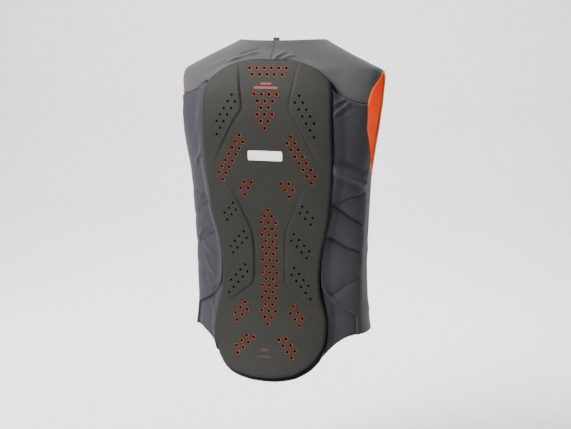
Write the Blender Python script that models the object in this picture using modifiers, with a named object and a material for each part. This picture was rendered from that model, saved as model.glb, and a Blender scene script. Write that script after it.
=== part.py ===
"""Sleeveless protective vest with a perforated back protector, in worn form.

Metres, +Z up. The origin is midway between the high points of the shoulders, where the shoulder seams meet
the neckline. The wearer faces +Y, so the protector is on the -Y side, and the right arm is at +X.

Every piece lies on one body surface. A place on it is an angle round the body (0 at the middle of the back,
90 at the right side, 180 at the middle of the front) and a drop below the origin.
"""

from collections import namedtuple
from math import atan, cos, degrees, pi, radians, sin

import bmesh
import bpy
from mathutils import Matrix, Vector

# Body sizes
BACK_LENGTH = 0.674
SIDE_LENGTH = 0.572
NECK_HALF = 0.088
SHOULDER_HALF = 0.206
SHOULDER_DROP = 0.060
CHEST_HALF = 0.182
BACK_DEPTH = 0.081
FRONT_DEPTH = 0.108
BACK_NECK_DROP = 0.002
FRONT_NECK_DROP = 0.088

# Armhole sizes: its lowest point, how far that point and the shoulder tip lie before the origin, and how far
# the edge reaches behind and before the line that joins them
ARMHOLE_DROP = 0.262
ARMHOLE_LOW = 0.018
ARMHOLE_TIP = 0.005
ARMHOLE_BACK = 0.063
ARMHOLE_FRONT = 0.0234

# Cloth sizes
CLOTH = 0.0012
LINING = 0.0010
LINING_GAP = 0.0022
SHOULDER_EASE = 0.0020
GAP = 0.0003
LAYER_GAP = 0.0009
SEAM_GAP = 0.0010
BINDING_RADIUS = 0.0012
BINDING_GAP = 0.0015
ZIP_HALF = 0.006
ZIP_THICK = 0.0022
RIM = 0.006
UNDERLAP = 0.004

# Back protector sizes
PANEL_HALF = 0.133
PANEL_TOP = 0.044
PANEL_LENGTH = 0.620
PANEL_SHOULDER = 0.036
PANEL_TAIL = 0.044
FOAM = 0.0085
INSERT = 0.006
PAD = 0.0022
PAD_STEP = 0.008
EDGE_ROUND = 0.003
EDGE_FALL = 0.0025
HOLE_RADIUS = 0.0040
HOLE_SIDES = 6

# Hang loop sizes: half its depth, and how far it stands above the neckline and reaches below it
LOOP_HALF = 0.0020
LOOP_RISE = 0.0065
LOOP_TAIL = 0.010
LOOP_GAP = 0.0009
TAPE_THICK = 0.0012
TAPE_WIDTH = 0.012

Colour = namedtuple("Colour", "red green blue roughness")
COLOURS = {
    "foam": Colour(0.060, 0.060, 0.052, 0.62),
    "orange_foam": Colour(0.62, 0.11, 0.02, 0.55),
    "grey_cloth": Colour(0.16, 0.16, 0.17, 0.70),
    "dark_cloth": Colour(0.030, 0.030, 0.042, 0.60),
    "orange_cloth": Colour(0.75, 0.13, 0.02, 0.75),
    "zip": Colour(0.02, 0.02, 0.02, 0.45),
    "tape": Colour(0.04, 0.04, 0.045, 0.70),
}

# Sections of the shoulders. The drop is a share of SHOULDER_DROP, and the half width a share of the way
# from NECK_HALF to SHOULDER_HALF. Side and back are shares of BACK_DEPTH and front is one of FRONT_DEPTH,
# each measured from the origin. Square is the exponent of the section's rounded corners.
Section = namedtuple("Section", "drop half side back front back_square front_square")
SHOULDER_SECTIONS = (
    Section(0.00, 0.00, 0.00, 0.53, 0.32, 2.2, 2.2),
    Section(0.25, 0.26, -0.09, 0.60, 0.37, 2.4, 2.2),
    Section(0.50, 0.52, -0.17, 0.67, 0.43, 2.6, 2.3),
    Section(0.75, 0.78, -0.16, 0.73, 0.48, 2.8, 2.4),
    Section(1.00, 1.00, -0.01, 0.80, 0.54, 3.0, 2.4),
)
# Sections of the body down to the underarm. The drop is a share of BACK_LENGTH, and the half width a share
# of the way from CHEST_HALF to SHOULDER_HALF.
CHEST_SECTIONS = (
    Section(0.113, 1.21, 0.03, 0.86, 0.62, 3.1, 2.4),
    Section(0.163, 1.14, -0.05, 0.95, 0.73, 3.2, 2.4),
    Section(0.237, 0.82, -0.15, 1.00, 0.86, 3.4, 2.4),
    Section(0.312, 0.42, -0.16, 0.98, 0.95, 3.5, 2.3),
    Section(0.399, 0.02, -0.15, 0.91, 1.00, 3.6, 2.3),
)
# Sections of the body below it. The half width is a share of CHEST_HALF.
WAIST_SECTIONS = (
    Section(0.519, 0.986, -0.16, 0.78, 0.98, 3.4, 2.2),
    Section(0.638, 0.972, -0.17, 0.70, 0.93, 3.2, 2.2),
    Section(0.757, 0.980, -0.15, 0.74, 0.94, 3.0, 2.3),
    Section(0.875, 1.014, -0.10, 0.95, 1.02, 2.8, 2.3),
    Section(1.000, 1.025, -0.05, 1.31, 1.05, 2.6, 2.3),
)

# Broad soft folds, the same on both sides. Each runs from one place to another, and width is how far its
# smooth slope reaches to either side of that line.
Fold = namedtuple("Fold", "start_angle start_drop end_angle end_drop width height")
FOLDS = (
    Fold(51, 0.262, 66, 0.276, 0.026, 0.0045),
    Fold(54, 0.326, 68, 0.330, 0.034, 0.0030),
    Fold(57, 0.425, 70, 0.440, 0.044, 0.0035),
    Fold(12, 0.014, 30, 0.018, 0.020, 0.0030),
    Fold(60, 0.524, 82, 0.530, 0.026, 0.0030),
)
# How far one degree round the body reaches, for the folds' slopes
DEGREE = 0.0031

# The armhole's edge from the underarm to the shoulder tip, as shares of ARMHOLE_BACK and ARMHOLE_FRONT.
ArmholeRow = namedtuple("ArmholeRow", "way behind before")
ARMHOLE_EDGE = (
    ArmholeRow(0.0, 0.00, 0.00),
    ArmholeRow(0.1, 0.16, 0.38),
    ArmholeRow(0.2, 0.40, 0.58),
    ArmholeRow(0.3, 0.69, 0.71),
    ArmholeRow(0.4, 0.87, 0.82),
    ArmholeRow(0.5, 1.00, 0.92),
    ArmholeRow(0.6, 0.98, 0.98),
    ArmholeRow(0.7, 0.86, 1.00),
    ArmholeRow(0.8, 0.62, 0.92),
    ArmholeRow(0.9, 0.31, 0.58),
    ArmholeRow(1.0, 0.00, 0.00),
)

# The protector's side edge: the way down is a share of the edge, the half width one of PANEL_HALF, and
# the band is the half width of the flat middle band between the raised side pads.
Edge = namedtuple("Edge", "way half band")
PANEL_EDGE = (
    Edge(0.000, 0.930, 0.46),
    Edge(0.020, 0.965, 0.45),
    Edge(0.070, 0.985, 0.43),
    Edge(0.140, 0.995, 0.37),
    Edge(0.240, 1.000, 0.65),
    Edge(0.330, 0.985, 0.90),
    Edge(0.400, 0.955, 0.54),
    Edge(0.470, 0.920, 0.40),
    Edge(0.545, 0.862, 0.265),
    Edge(0.610, 0.803, 0.24),
    Edge(0.675, 0.775, 0.24),
    Edge(0.720, 0.771, 0.29),
    Edge(0.770, 0.795, 0.53),
    Edge(0.815, 0.840, 0.74),
    Edge(0.865, 0.885, 0.80),
    Edge(0.910, 0.893, 0.80),
    Edge(0.955, 0.868, 0.78),
    Edge(1.000, 0.770, 0.70),
)
# The protector's top and tail: across is a share of the half width, and down is a share of PANEL_SHOULDER
# at the top and of PANEL_TAIL at the tail, measured from the middle and from the ends.
End = namedtuple("End", "across top tail")
PANEL_ENDS = (
    End(0.00, 0.00, 1.00),
    End(0.20, -0.03, 0.98),
    End(0.40, -0.02, 0.91),
    End(0.60, 0.16, 0.78),
    End(0.75, 0.37, 0.59),
    End(0.88, 0.65, 0.35),
    End(1.00, 1.00, 0.00),
)

# Rows of perforations. Both offsets are of the first hole on the protector's face, as shares of PANEL_HALF
# and BACK_LENGTH, and the steps are in HOLE_PITCH across and ROW_PITCH down. Each hole shows the insert.
HOLE_PITCH = 0.0153
ROW_PITCH = 0.01265
HoleRow = namedtuple("HoleRow", "across down step_across step_down count")
HOLE_ROWS = (
    HoleRow(0.058, 0.0797, 1.0, 0.0, 3),
    HoleRow(0.116, 0.0978, 1.0, 0.0, 2),
    HoleRow(0.058, 0.1536, 1.0, 0.0, 2),
    HoleRow(0.118, 0.1728, 0.0, 0.0, 1),
    HoleRow(0.059, 0.1914, 0.0, 0.0, 1),
    HoleRow(0.118, 0.2107, 0.0, 0.0, 1),
    HoleRow(0.059, 0.2300, 0.0, 0.0, 1),
    HoleRow(0.407, 0.2712, 0.512, 1.0, 7),
    HoleRow(0.350, 0.2908, 0.512, 1.0, 7),
)
# Perforations on the middle line, as shares of BACK_LENGTH
MIDDLE_HOLES = (0.0978, 0.1728, 0.2107, 0.2493)
# The spine column of perforations: its first row as a share of BACK_LENGTH, and its count of rows
SPINE_TOP = 0.4886
SPINE_ROWS = 19

# Where the seams meet the armhole's edge and the neckline, as ways along them
SEAM_WAY = -0.28
SEAM_HEM_ANGLE = 66.0
YOKE_BACK_WAY = -0.655
YOKE_SEAM_SAG = 0.008
YOKE_FRONT_WAY = 0.70
YOKE_NECK_WAY = 0.30
FRONT_NECK_WAY = 0.955
# Where along each piece's rows or columns its edge turns a corner
YOKE_STOPS = (7 / 28, 12 / 28, 20 / 28)
SIDE_UNDERARM = 7 / 16
LINING_UNDERARM = 6 / 14
FRONT_STOPS = (10 / 19, 15 / 19)
LINING_NECK = 0.50
LINING_TAIL = 0.50
RIM_START = 0.88
HEM_RISE = 0.009
HEM_CURVE = 3.3

# Grid sizes
PANEL_ROWS = 16
YOKE_COLUMNS = 28
YOKE_ROWS = 5
SIDE_COLUMNS = 6
FRONT_COLUMNS = 19
FRONT_ROWS = 10
LINING_COLUMNS = 12
LINING_ROWS = 14


def smooth(rows, x):
    """Value at x of a curve through (x, y) rows that never overshoots them."""
    if x <= rows[0][0]:
        return rows[0][1]
    if x >= rows[-1][0]:
        return rows[-1][1]
    slopes = [(b[1] - a[1]) / (b[0] - a[0]) for a, b in zip(rows, rows[1:])]
    tangents = [slopes[0]]
    for before, after in zip(slopes, slopes[1:]):
        level = before * after <= 0
        tangents.append(0.0 if level else 2 * before * after / (before + after))
    tangents.append(slopes[-1])
    i = max(k for k in range(len(slopes)) if rows[k][0] <= x)
    width = rows[i + 1][0] - rows[i][0]
    t = (x - rows[i][0]) / width
    start = rows[i][1] * (1 + 2 * t) * (1 - t) ** 2 + tangents[i] * width * t * (1 - t) ** 2
    end = rows[i + 1][1] * t * t * (3 - 2 * t) + tangents[i + 1] * width * t * t * (t - 1)
    return start + end


def real_sections():
    """The sections' columns as curves over the drop, in metres."""
    rows = []
    for s in SHOULDER_SECTIONS:
        half = NECK_HALF + s.half * (SHOULDER_HALF - NECK_HALF)
        rows.append((s.drop * SHOULDER_DROP, half, s))
    for s in CHEST_SECTIONS:
        half = CHEST_HALF + s.half * (SHOULDER_HALF - CHEST_HALF)
        rows.append((s.drop * BACK_LENGTH, half, s))
    for s in WAIST_SECTIONS:
        rows.append((s.drop * BACK_LENGTH, s.half * CHEST_HALF, s))
    columns = {"half": [(drop, half) for drop, half, s in rows]}
    columns["side"] = [(drop, s.side * BACK_DEPTH) for drop, half, s in rows]
    columns["back"] = [(drop, -s.back * BACK_DEPTH) for drop, half, s in rows]
    columns["front"] = [(drop, s.front * FRONT_DEPTH) for drop, half, s in rows]
    columns["back_square"] = [(drop, s.back_square) for drop, half, s in rows]
    columns["front_square"] = [(drop, s.front_square) for drop, half, s in rows]
    return columns


SECTIONS = real_sections()
CUT_CACHE = {}


def section_at(drop):
    """The body's section at a drop: half width, side, back, front and both exponents."""
    if drop not in CUT_CACHE:
        CUT_CACHE[drop] = Section(
            drop,
            smooth(SECTIONS["half"], drop),
            smooth(SECTIONS["side"], drop),
            smooth(SECTIONS["back"], drop),
            smooth(SECTIONS["front"], drop),
            smooth(SECTIONS["back_square"], drop),
            smooth(SECTIONS["front_square"], drop),
        )
    return CUT_CACHE[drop]


def body_point(angle, drop):
    """The place on the body surface at an angle in degrees and a drop."""
    s = section_at(drop)
    across, along = sin(radians(angle)), cos(radians(angle))
    square, depth = (s.back_square, s.back) if along >= 0 else (s.front_square, s.front)
    reach = (abs(across) ** square + abs(along) ** square) ** (-1 / square)
    return Vector((s.half * across * reach, s.side + (depth - s.side) * abs(along) * reach, -drop))


def outward(angle, drop):
    """The body surface's normal, pointing away from the body."""
    turn, fall = 0.5, 0.0008
    round_way = body_point(angle + turn, drop) - body_point(angle - turn, drop)
    down_way = body_point(angle, drop + fall) - body_point(angle, drop - fall)
    return down_way.cross(round_way).normalized()


def fold_height(angle, drop):
    """How far the folds lift the cloth at a place."""
    total = 0.0
    for fold in FOLDS:
        run = Vector(((fold.end_angle - fold.start_angle) * DEGREE, fold.end_drop - fold.start_drop))
        away = Vector(((abs(angle) - fold.start_angle) * DEGREE, drop - fold.start_drop))
        share = min(max(away.dot(run) / run.length_squared, 0.0), 1.0)
        distance = (away - run * share).length / fold.width
        total += fold.height * (1 + cos(pi * min(distance, 1.0))) / 2
    return total


def lifted(place, height):
    """A point above the body surface."""
    return body_point(*place) + outward(*place) * height


def angle_across(across, drop, front=False):
    """The angle at which the body surface is this far from the middle."""
    s = section_at(drop)
    square = s.front_square if front else s.back_square
    share = min(abs(across) / s.half, 0.9999) ** square
    angle = degrees(atan((share / (1 - share)) ** (1 / square)))
    angle = 180 - angle if front else angle
    return angle if across >= 0 else -angle


def angle_along(along, drop):
    """The angle on the right side at which the body surface is this far before the shoulder line."""
    s = section_at(drop)
    front = along > s.side
    square = s.front_square if front else s.back_square
    depth = (s.front if front else s.back) - s.side
    share = min(max((along - s.side) / depth, 1e-4), 0.9999) ** square
    turn = degrees(atan(((1 - share) / share) ** (1 / square)))
    return 180 - turn if front else turn


def armhole(way):
    """The armhole's edge: -1 at the shoulder tip, then down behind, 0 underarm, and up before to the tip at 1."""
    middle = (ARMHOLE_DROP + SHOULDER_DROP) / 2
    drop = middle + (ARMHOLE_DROP - middle) * cos(pi * way)
    line = ARMHOLE_LOW + (ARMHOLE_TIP - ARMHOLE_LOW) * abs(way)
    if way > 0:
        along = line + ARMHOLE_FRONT * smooth([(row.way, row.before) for row in ARMHOLE_EDGE], way)
    else:
        along = line - ARMHOLE_BACK * smooth([(row.way, row.behind) for row in ARMHOLE_EDGE], -way)
    return (angle_along(along, drop), drop)


def neckline(way):
    """The neckline: -1 at the middle of the back, 0 on the shoulder, 1 at the middle of the front."""
    if way <= 0:
        return (90 * (1 + way), BACK_NECK_DROP * sin(pi / 2 * way) ** 2)
    drop = FRONT_NECK_DROP * sin(pi / 2 * way)
    return (angle_across(NECK_HALF * cos(pi / 2 * way), drop, front=True), drop)


def between(a, b, t):
    return tuple(p + (q - p) * t for p, q in zip(a, b))


def edge_at(column, way):
    """A column of the protector's edge table at a way down its sides."""
    return smooth([(row.way, getattr(row, column)) for row in PANEL_EDGE], way)


def end_at(column, across):
    """A column of the protector's end table at a share of its half width."""
    return smooth([(row.across, getattr(row, column)) for row in PANEL_ENDS], abs(across))


def panel_place(across, way, grow=0.0):
    """A place on the protector: across from -1 to 1 and the way down its sides from 0 to 1."""
    top = PANEL_TOP - grow + PANEL_SHOULDER * end_at("top", across)
    side_end = PANEL_TOP + PANEL_LENGTH - PANEL_TAIL
    tail = side_end + grow + PANEL_TAIL * end_at("tail", across)
    drop = top + (tail - top) * way
    half = edge_at("half", way) * PANEL_HALF + grow
    return (angle_across(across * half, drop), drop)


def base_place(across, way):
    """The edge of the cloth behind the protector: tucked under its edge, and a rim round its tail."""
    share = min(max((way - RIM_START) / (1 - RIM_START), 0.0), 1.0)
    return panel_place(across, way, -UNDERLAP + (UNDERLAP + RIM) * share)


def pad_columns(way):
    """Shares across the protector from its middle to its edge, with one at each side of the pad's step."""
    half = edge_at("half", way)
    edge = 1 - EDGE_ROUND / (half * PANEL_HALF)
    step = min(edge_at("band", way) / half, 0.86)
    risen = step + PAD_STEP / (half * PANEL_HALF)
    return (0.0, step / 2, step, risen, (risen + edge) / 2, edge, 1.0)


def pad_height(across, way):
    """How far the side pads stand above the middle band."""
    start = edge_at("band", way) * PANEL_HALF
    rise = (abs(across) * edge_at("half", way) * PANEL_HALF - start) / PAD_STEP
    return PAD * min(max(rise, 0.0), 1.0)


def material(name):
    colour = COLOURS[name]
    mat = bpy.data.materials.new(name)
    mat.use_nodes = True
    shader = mat.node_tree.nodes["Principled BSDF"]
    shader.inputs["Base Color"].default_value = (colour.red, colour.green, colour.blue, 1)
    shader.inputs["Roughness"].default_value = colour.roughness
    shader.inputs["Metallic"].default_value = 0.0
    return mat


def add_object(name, mesh, colour, collection):
    obj = bpy.data.objects.new(name, mesh)
    collection.objects.link(obj)
    mesh.materials.append(material(colour))
    return obj


def grid_mesh(name, points):
    """An open sheet of triangles through rows of points, facing out of the body, split alike on both sides."""
    mesh = bpy.data.meshes.new(name)
    columns = len(points[0])
    faces = []
    for r in range(len(points) - 1):
        for c in range(columns - 1):
            a = r * columns + c
            b, d = a + 1, a + columns
            far = d + 1
            if points[r][c].x + points[r][c + 1].x > 0:
                faces += [(a, b, far), (a, far, d)]
            else:
                faces += [(a, b, d), (b, far, d)]
    mesh.from_pydata([p for row in points for p in row], [], faces)
    return mesh


def drawn_in(points, inset):
    """The sheet's points with each edge drawn in along the sheet, so that neighbours don't touch."""
    rows = [list(row) for row in points]
    for row in rows:
        row[0], row[-1] = toward(row[0], row[1], inset), toward(row[-1], row[-2], inset)
    top = [toward(a, b, inset) for a, b in zip(rows[0], rows[1])]
    end = [toward(a, b, inset) for a, b in zip(rows[-1], rows[-2])]
    rows[0], rows[-1] = top, end
    return rows


def toward(point, other, distance):
    way = other - point
    return point + way.normalized() * distance if way.length > distance else point.copy()


def sheet(name, places, height, thick, colour, collection, inset=SEAM_GAP / 2):
    """A cloth piece through rows of places, running up the body, thickened inwards."""
    points = [[lifted(place, height + fold_height(*place)) for place in row] for row in places]
    points = drawn_in(points, inset)
    obj = add_object(name, grid_mesh(name, points), colour, collection)
    wall = obj.modifiers.new("thickness", "SOLIDIFY")
    wall.thickness = thick
    wall.offset = -1
    return obj


def coons(bottom, top, left, right, columns, rows):
    """Rows of places inside four edges, from the bottom up. Each edge is a function of its way from 0 to 1."""
    places = []
    for r in range(rows + 1):
        v = r / rows
        row = []
        for c in range(columns + 1):
            u = c / columns
            ruled = between(bottom(u), top(u), v)
            crossed = between(left(v), right(v), u)
            corners = between(between(bottom(0), bottom(1), u), between(top(0), top(1), u), v)
            row.append(tuple(a + b - d for a, b, d in zip(ruled, crossed, corners)))
        places.append(row)
    return places


def through(*stops):
    """An edge that runs straight between places given with the way at which it reaches each."""
    def edge(way):
        for (start, a), (end, b) in zip(stops, stops[1:]):
            if way <= end:
                return between(a, b, (way - start) / (end - start))
        return stops[-1][1]
    return edge


def mirrored(places):
    """The same rows of places on the other side of the body, still facing out."""
    return [[(-angle, drop) for angle, drop in reversed(row)] for row in places]


def side_of(places):
    """One name and its rows of places for each side of the body."""
    return (("right", places), ("left", mirrored(places)))


def panel_shares(way):
    """Shares across the whole protector, from its left edge to its right edge."""
    half = pad_columns(way)
    return [-share for share in reversed(half[1:])] + list(half)


def panel_ways():
    """Ways down the protector's sides, from its tail to its top, with one at each end's rounded edge."""
    rounded = EDGE_ROUND / PANEL_LENGTH
    inner = [1 - k / PANEL_ROWS for k in range(1, PANEL_ROWS)]
    return [1.0, 1 - rounded] + inner + [rounded, 0.0]


def foam_points(raised):
    """Rows of points over the protector's outer face, or over its flat inner face."""
    rows = []
    for way in panel_ways():
        row = []
        for share in panel_shares(way):
            height = LAYER_GAP + INSERT + GAP
            if raised:
                height += FOAM + pad_height(share, way)
                if way in (0.0, 1.0) or abs(share) == 1.0:
                    height -= EDGE_FALL
            row.append(lifted(panel_place(share, way), height))
        rows.append(row)
    return rows


def insert_places():
    """The insert's places: the protector's, without its rounded edge."""
    return [[panel_place(share, way) for share in panel_shares(way)[1:-1]] for way in panel_ways()[1:-1]]


def base_places():
    """The carrying cloth's places: the protector's, inside an outline of its own."""
    rows = []
    ways = panel_ways()
    for way in [ways[0]] + ways[2:-2] + [ways[-1]]:
        shares = panel_shares(way)
        inner = [-1.0] + shares[2:-2] + [1.0]
        if way in (0.0, 1.0):
            rows.append([base_place(share, way) for share in inner])
        else:
            row = [panel_place(share, way) for share in inner]
            row[0], row[-1] = base_place(-1.0, way), base_place(1.0, way)
            rows.append(row)
    return rows


def loft_between(name, outer, inner):
    """A closed mesh between two grids of the same size."""
    columns = len(outer[0])
    count = columns * len(outer)
    mesh = grid_mesh(name, outer)
    skin = [tuple(face.vertices) for face in mesh.polygons]
    faces = skin + [tuple(v + count for v in reversed(face)) for face in skin]
    rows = len(outer)
    border = list(range(columns))
    border += [r * columns + columns - 1 for r in range(1, rows)]
    border += [(rows - 1) * columns + c for c in range(columns - 2, -1, -1)]
    border += [r * columns for r in range(rows - 2, 0, -1)]
    for a, b in zip(border, border[1:] + border[:1]):
        faces += [(b, a, a + count), (b, a + count, b + count)]
    points = [p for row in outer for p in row] + [p for row in inner for p in row]
    bpy.data.meshes.remove(mesh)
    mesh = bpy.data.meshes.new(name)
    mesh.from_pydata(points, [], faces)
    return mesh


def under_face(across, drop):
    """The place under a point of the protector's face, which leans out from the body."""
    x, down = across, drop
    for _ in range(3):
        point = lifted((angle_across(x, down), down), LAYER_GAP + INSERT + GAP + FOAM)
        x += across - point.x
        down += drop + point.z
    return (angle_across(x, down), down)


def hole_places():
    """The places of the rows of holes, on both sides of the middle."""
    places = []
    for row in HOLE_ROWS:
        for k in range(row.count):
            across = row.across * PANEL_HALF + k * row.step_across * HOLE_PITCH
            drop = row.down * BACK_LENGTH + k * row.step_down * ROW_PITCH
            for side in (across, -across):
                places.append(under_face(side, drop))
    return places


def middle_places():
    """The places of the holes on the middle line and of the spine column."""
    places = [under_face(0.0, share * BACK_LENGTH) for share in MIDDLE_HOLES]
    for k in range(SPINE_ROWS):
        drop = SPINE_TOP * BACK_LENGTH + k * ROW_PITCH
        last = k in (0, SPINE_ROWS - 1)
        shares = (0.0,) if last else (-0.5, 0.5) if k % 2 else (-1.0, 0.0, 1.0)
        for share in shares:
            places.append(under_face(share * HOLE_PITCH, drop))
    return places


def hole_cutters(collection):
    """One mesh of short rods, one through the foam at each perforation."""
    shape = bmesh.new()
    for place in hole_places() + middle_places():
        turn = outward(*place).to_track_quat("Z", "Y").to_matrix().to_4x4()
        centre = lifted(place, LAYER_GAP + INSERT + FOAM / 2)
        bmesh.ops.create_cone(
            shape,
            cap_ends=True,
            segments=HOLE_SIDES,
            radius1=HOLE_RADIUS,
            radius2=HOLE_RADIUS,
            depth=FOAM * 2,
            matrix=Matrix.Translation(centre) @ turn,
        )
    mesh = bpy.data.meshes.new("hole_cutters")
    shape.to_mesh(mesh)
    shape.free()
    rods = bpy.data.objects.new("hole_cutters", mesh)
    collection.objects.link(rods)
    rods.hide_render = True
    rods.display_type = "WIRE"
    return rods


def protector(collection, cutters):
    """The perforated foam, the orange insert under it and the cloth that carries them."""
    mesh = loft_between("back_panel_outer", foam_points(True), foam_points(False))
    foam = add_object("back_panel_outer", mesh, "foam", collection)
    cut = foam.modifiers.new("perforations", "BOOLEAN")
    cut.operation = "DIFFERENCE"
    cut.object = hole_cutters(cutters)

    sheet("back_panel_inner", insert_places(), LAYER_GAP + INSERT, INSERT, "orange_foam", collection, inset=0)
    sheet("back_base", base_places(), 0, CLOTH, "dark_cloth", collection)


def yoke_seam(way):
    """The yoke's back seam, from the protector's corner to the armhole."""
    angle, drop = between(base_place(1.0, 0.0), armhole(YOKE_BACK_WAY), way)
    return (angle, drop + YOKE_SEAM_SAG * sin(pi * way))


def side_seam(way):
    """The side seam, from the hem to the armhole."""
    return between((SEAM_HEM_ANGLE, SIDE_LENGTH), armhole(SEAM_WAY), way)


def yokes(collection):
    """The shoulder yoke, from its seam at the middle of the back over each shoulder to its front seam."""
    corner, turn, tip = YOKE_STOPS

    def bottom(way):
        if way <= corner:
            angle, drop = base_place(way / corner, 0.0)
            return (angle, drop - SEAM_GAP)
        if way <= turn:
            return yoke_seam((way - corner) / (turn - corner))
        if way <= tip:
            share = (way - turn) / (tip - turn)
            return armhole(YOKE_BACK_WAY + (-1 - YOKE_BACK_WAY) * share)
        return armhole(1 + (YOKE_FRONT_WAY - 1) * (way - tip) / (1 - tip))

    def top(way):
        if way <= tip:
            return neckline(way / tip - 1)
        return neckline(YOKE_NECK_WAY * (way - tip) / (1 - tip))

    middle = through((0, bottom(0)), (1, top(0)))
    front = through((0, bottom(1)), (1, top(1)))
    places = coons(bottom, top, middle, front, YOKE_COLUMNS, YOKE_ROWS)
    for side, rows in side_of(places):
        sheet("yoke_" + side, rows, 0, CLOTH, "grey_cloth", collection)


def side_backs(collection):
    """The stretch cloth between the protector and the side seam."""
    tail = base_place(1.0, 1.0)

    def bottom(way):
        angle, drop = between(tail, side_seam(0.0), way)
        return (angle, SIDE_LENGTH + (tail[1] - SIDE_LENGTH) * (1 - way) ** HEM_CURVE)

    def outer(way):
        if way <= SIDE_UNDERARM:
            return side_seam(way / SIDE_UNDERARM)
        share = (way - SIDE_UNDERARM) / (1 - SIDE_UNDERARM)
        return armhole(SEAM_WAY + (YOKE_BACK_WAY - SEAM_WAY) * share)

    places = coons(bottom, yoke_seam, lambda way: base_place(1.0, 1 - way), outer, SIDE_COLUMNS, PANEL_ROWS)
    for side, rows in side_of(places):
        sheet("side_back_" + side, rows, 0, CLOTH, "dark_cloth", collection)


def fronts(collection):
    """The front panels, from the hem up to the armhole, the yoke's front seam and the neckline."""
    yoke_start, neck_start = FRONT_STOPS

    def zip_edge(drop):
        return (angle_across(ZIP_HALF, drop, front=True), drop)

    def top(way):
        if way <= yoke_start:
            return armhole(SEAM_WAY + (YOKE_FRONT_WAY - SEAM_WAY) * way / yoke_start)
        if way <= neck_start:
            share = (way - yoke_start) / (neck_start - yoke_start)
            return between(armhole(YOKE_FRONT_WAY), neckline(YOKE_NECK_WAY), share)
        share = (way - neck_start) / (1 - neck_start)
        return neckline(YOKE_NECK_WAY + (FRONT_NECK_WAY - YOKE_NECK_WAY) * share)

    def middle(way):
        return zip_edge(SIDE_LENGTH + (top(1)[1] - SIDE_LENGTH) * way)

    bottom = through((0, side_seam(0.0)), (1, zip_edge(SIDE_LENGTH)))
    places = coons(bottom, top, side_seam, middle, FRONT_COLUMNS, FRONT_ROWS)
    for name, rows in side_of(places):
        sheet("front_" + name, rows, 0, CLOTH, "grey_cloth", collection)
    closure = []
    for k in range(FRONT_ROWS + 1):
        angle, drop = middle(k / FRONT_ROWS)
        closure.append([(angle, drop), (360 - angle, drop)])
    sheet("front_zip", closure, ZIP_THICK - CLOTH, ZIP_THICK, "zip", collection)


def lining_depth(drop):
    """How far the lining's outer face lies under the cloth's, a little more over the shoulders."""
    ease = SHOULDER_EASE * max(0.0, 1 - 2 * drop / ARMHOLE_DROP)
    return CLOTH + LINING_GAP + ease


def lining(collection):
    """The inner vest: back and front halves, joined at the sides and along the shoulders."""
    neck = LINING_NECK

    def hem(way):
        across = 2 * way - 1
        side = 1 if across >= 0 else -1
        if abs(across) <= LINING_TAIL:
            angle, drop = base_place(abs(across) / LINING_TAIL, 1.0)
        else:
            share = (abs(across) - LINING_TAIL) / (1 - LINING_TAIL)
            tail = base_place(1.0, 1.0)
            angle = tail[0] + (90 - tail[0]) * share
            beside = max(0.0, 1 - (angle - tail[0]) / (SEAM_HEM_ANGLE - tail[0]))
            drop = SIDE_LENGTH + (tail[1] - SIDE_LENGTH) * beside ** HEM_CURVE
        return (side * angle, drop - HEM_RISE)

    def shoulder(way, front):
        across = 2 * way - 1
        side = 1 if across >= 0 else -1
        if abs(across) >= neck:
            share = (abs(across) - neck) / (1 - neck)
            angle, drop = between(neckline(0.0), armhole(1.0), share)
        else:
            angle, drop = neckline((neck - abs(across)) / neck * (1 if front else -1))
        return (side * angle, drop)

    def side_edge(way, front):
        if way <= LINING_UNDERARM:
            return between((90.0, SIDE_LENGTH - HEM_RISE), armhole(0.0), way / LINING_UNDERARM)
        share = (way - LINING_UNDERARM) / (1 - LINING_UNDERARM)
        return armhole(share if front else -share)

    def opposite(edge):
        return lambda way: (-edge(way)[0], edge(way)[1])

    right = lambda way: side_edge(way, False)
    back = coons(hem, lambda way: shoulder(way, False), opposite(right), right, LINING_COLUMNS, LINING_ROWS)
    near = lambda way: side_edge(way, True)
    far = lambda way: (360 - near(way)[0], near(way)[1])

    def front_top(way):
        angle, drop = shoulder(1 - way, True)
        return (angle if angle > 0 else 360 + angle, drop)

    front_hem = lambda way: (90 + 180 * way, SIDE_LENGTH - HEM_RISE)
    front = coons(front_hem, front_top, near, far, LINING_COLUMNS, LINING_ROWS)
    shape = bmesh.new()
    for places in (back, front):
        points = [[lifted(place, -lining_depth(place[1])) for place in row] for row in places]
        half = grid_mesh("half", points)
        shape.from_mesh(half)
        bpy.data.meshes.remove(half)
    bmesh.ops.remove_doubles(shape, verts=shape.verts, dist=0.0001)
    mesh = bpy.data.meshes.new("lining")
    shape.to_mesh(mesh)
    shape.free()
    obj = add_object("lining", mesh, "orange_cloth", collection)
    wall = obj.modifiers.new("thickness", "SOLIDIFY")
    wall.thickness = LINING
    wall.offset = -1


def binding_ways():
    """Ways round the armhole, at the corners of the pieces that meet its edge."""
    corner, turn, tip = YOKE_STOPS
    runs = (
        (SEAM_WAY, YOKE_FRONT_WAY, round(FRONT_COLUMNS * FRONT_STOPS[0])),
        (YOKE_FRONT_WAY, 1.0, round(YOKE_COLUMNS * (1 - tip))),
        (-1.0, YOKE_BACK_WAY, round(YOKE_COLUMNS * (tip - turn))),
        (YOKE_BACK_WAY, SEAM_WAY, round(PANEL_ROWS * (1 - SIDE_UNDERARM))),
    )
    return [start + (end - start) * k / count for start, end, count in runs for k in range(count)]


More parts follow.
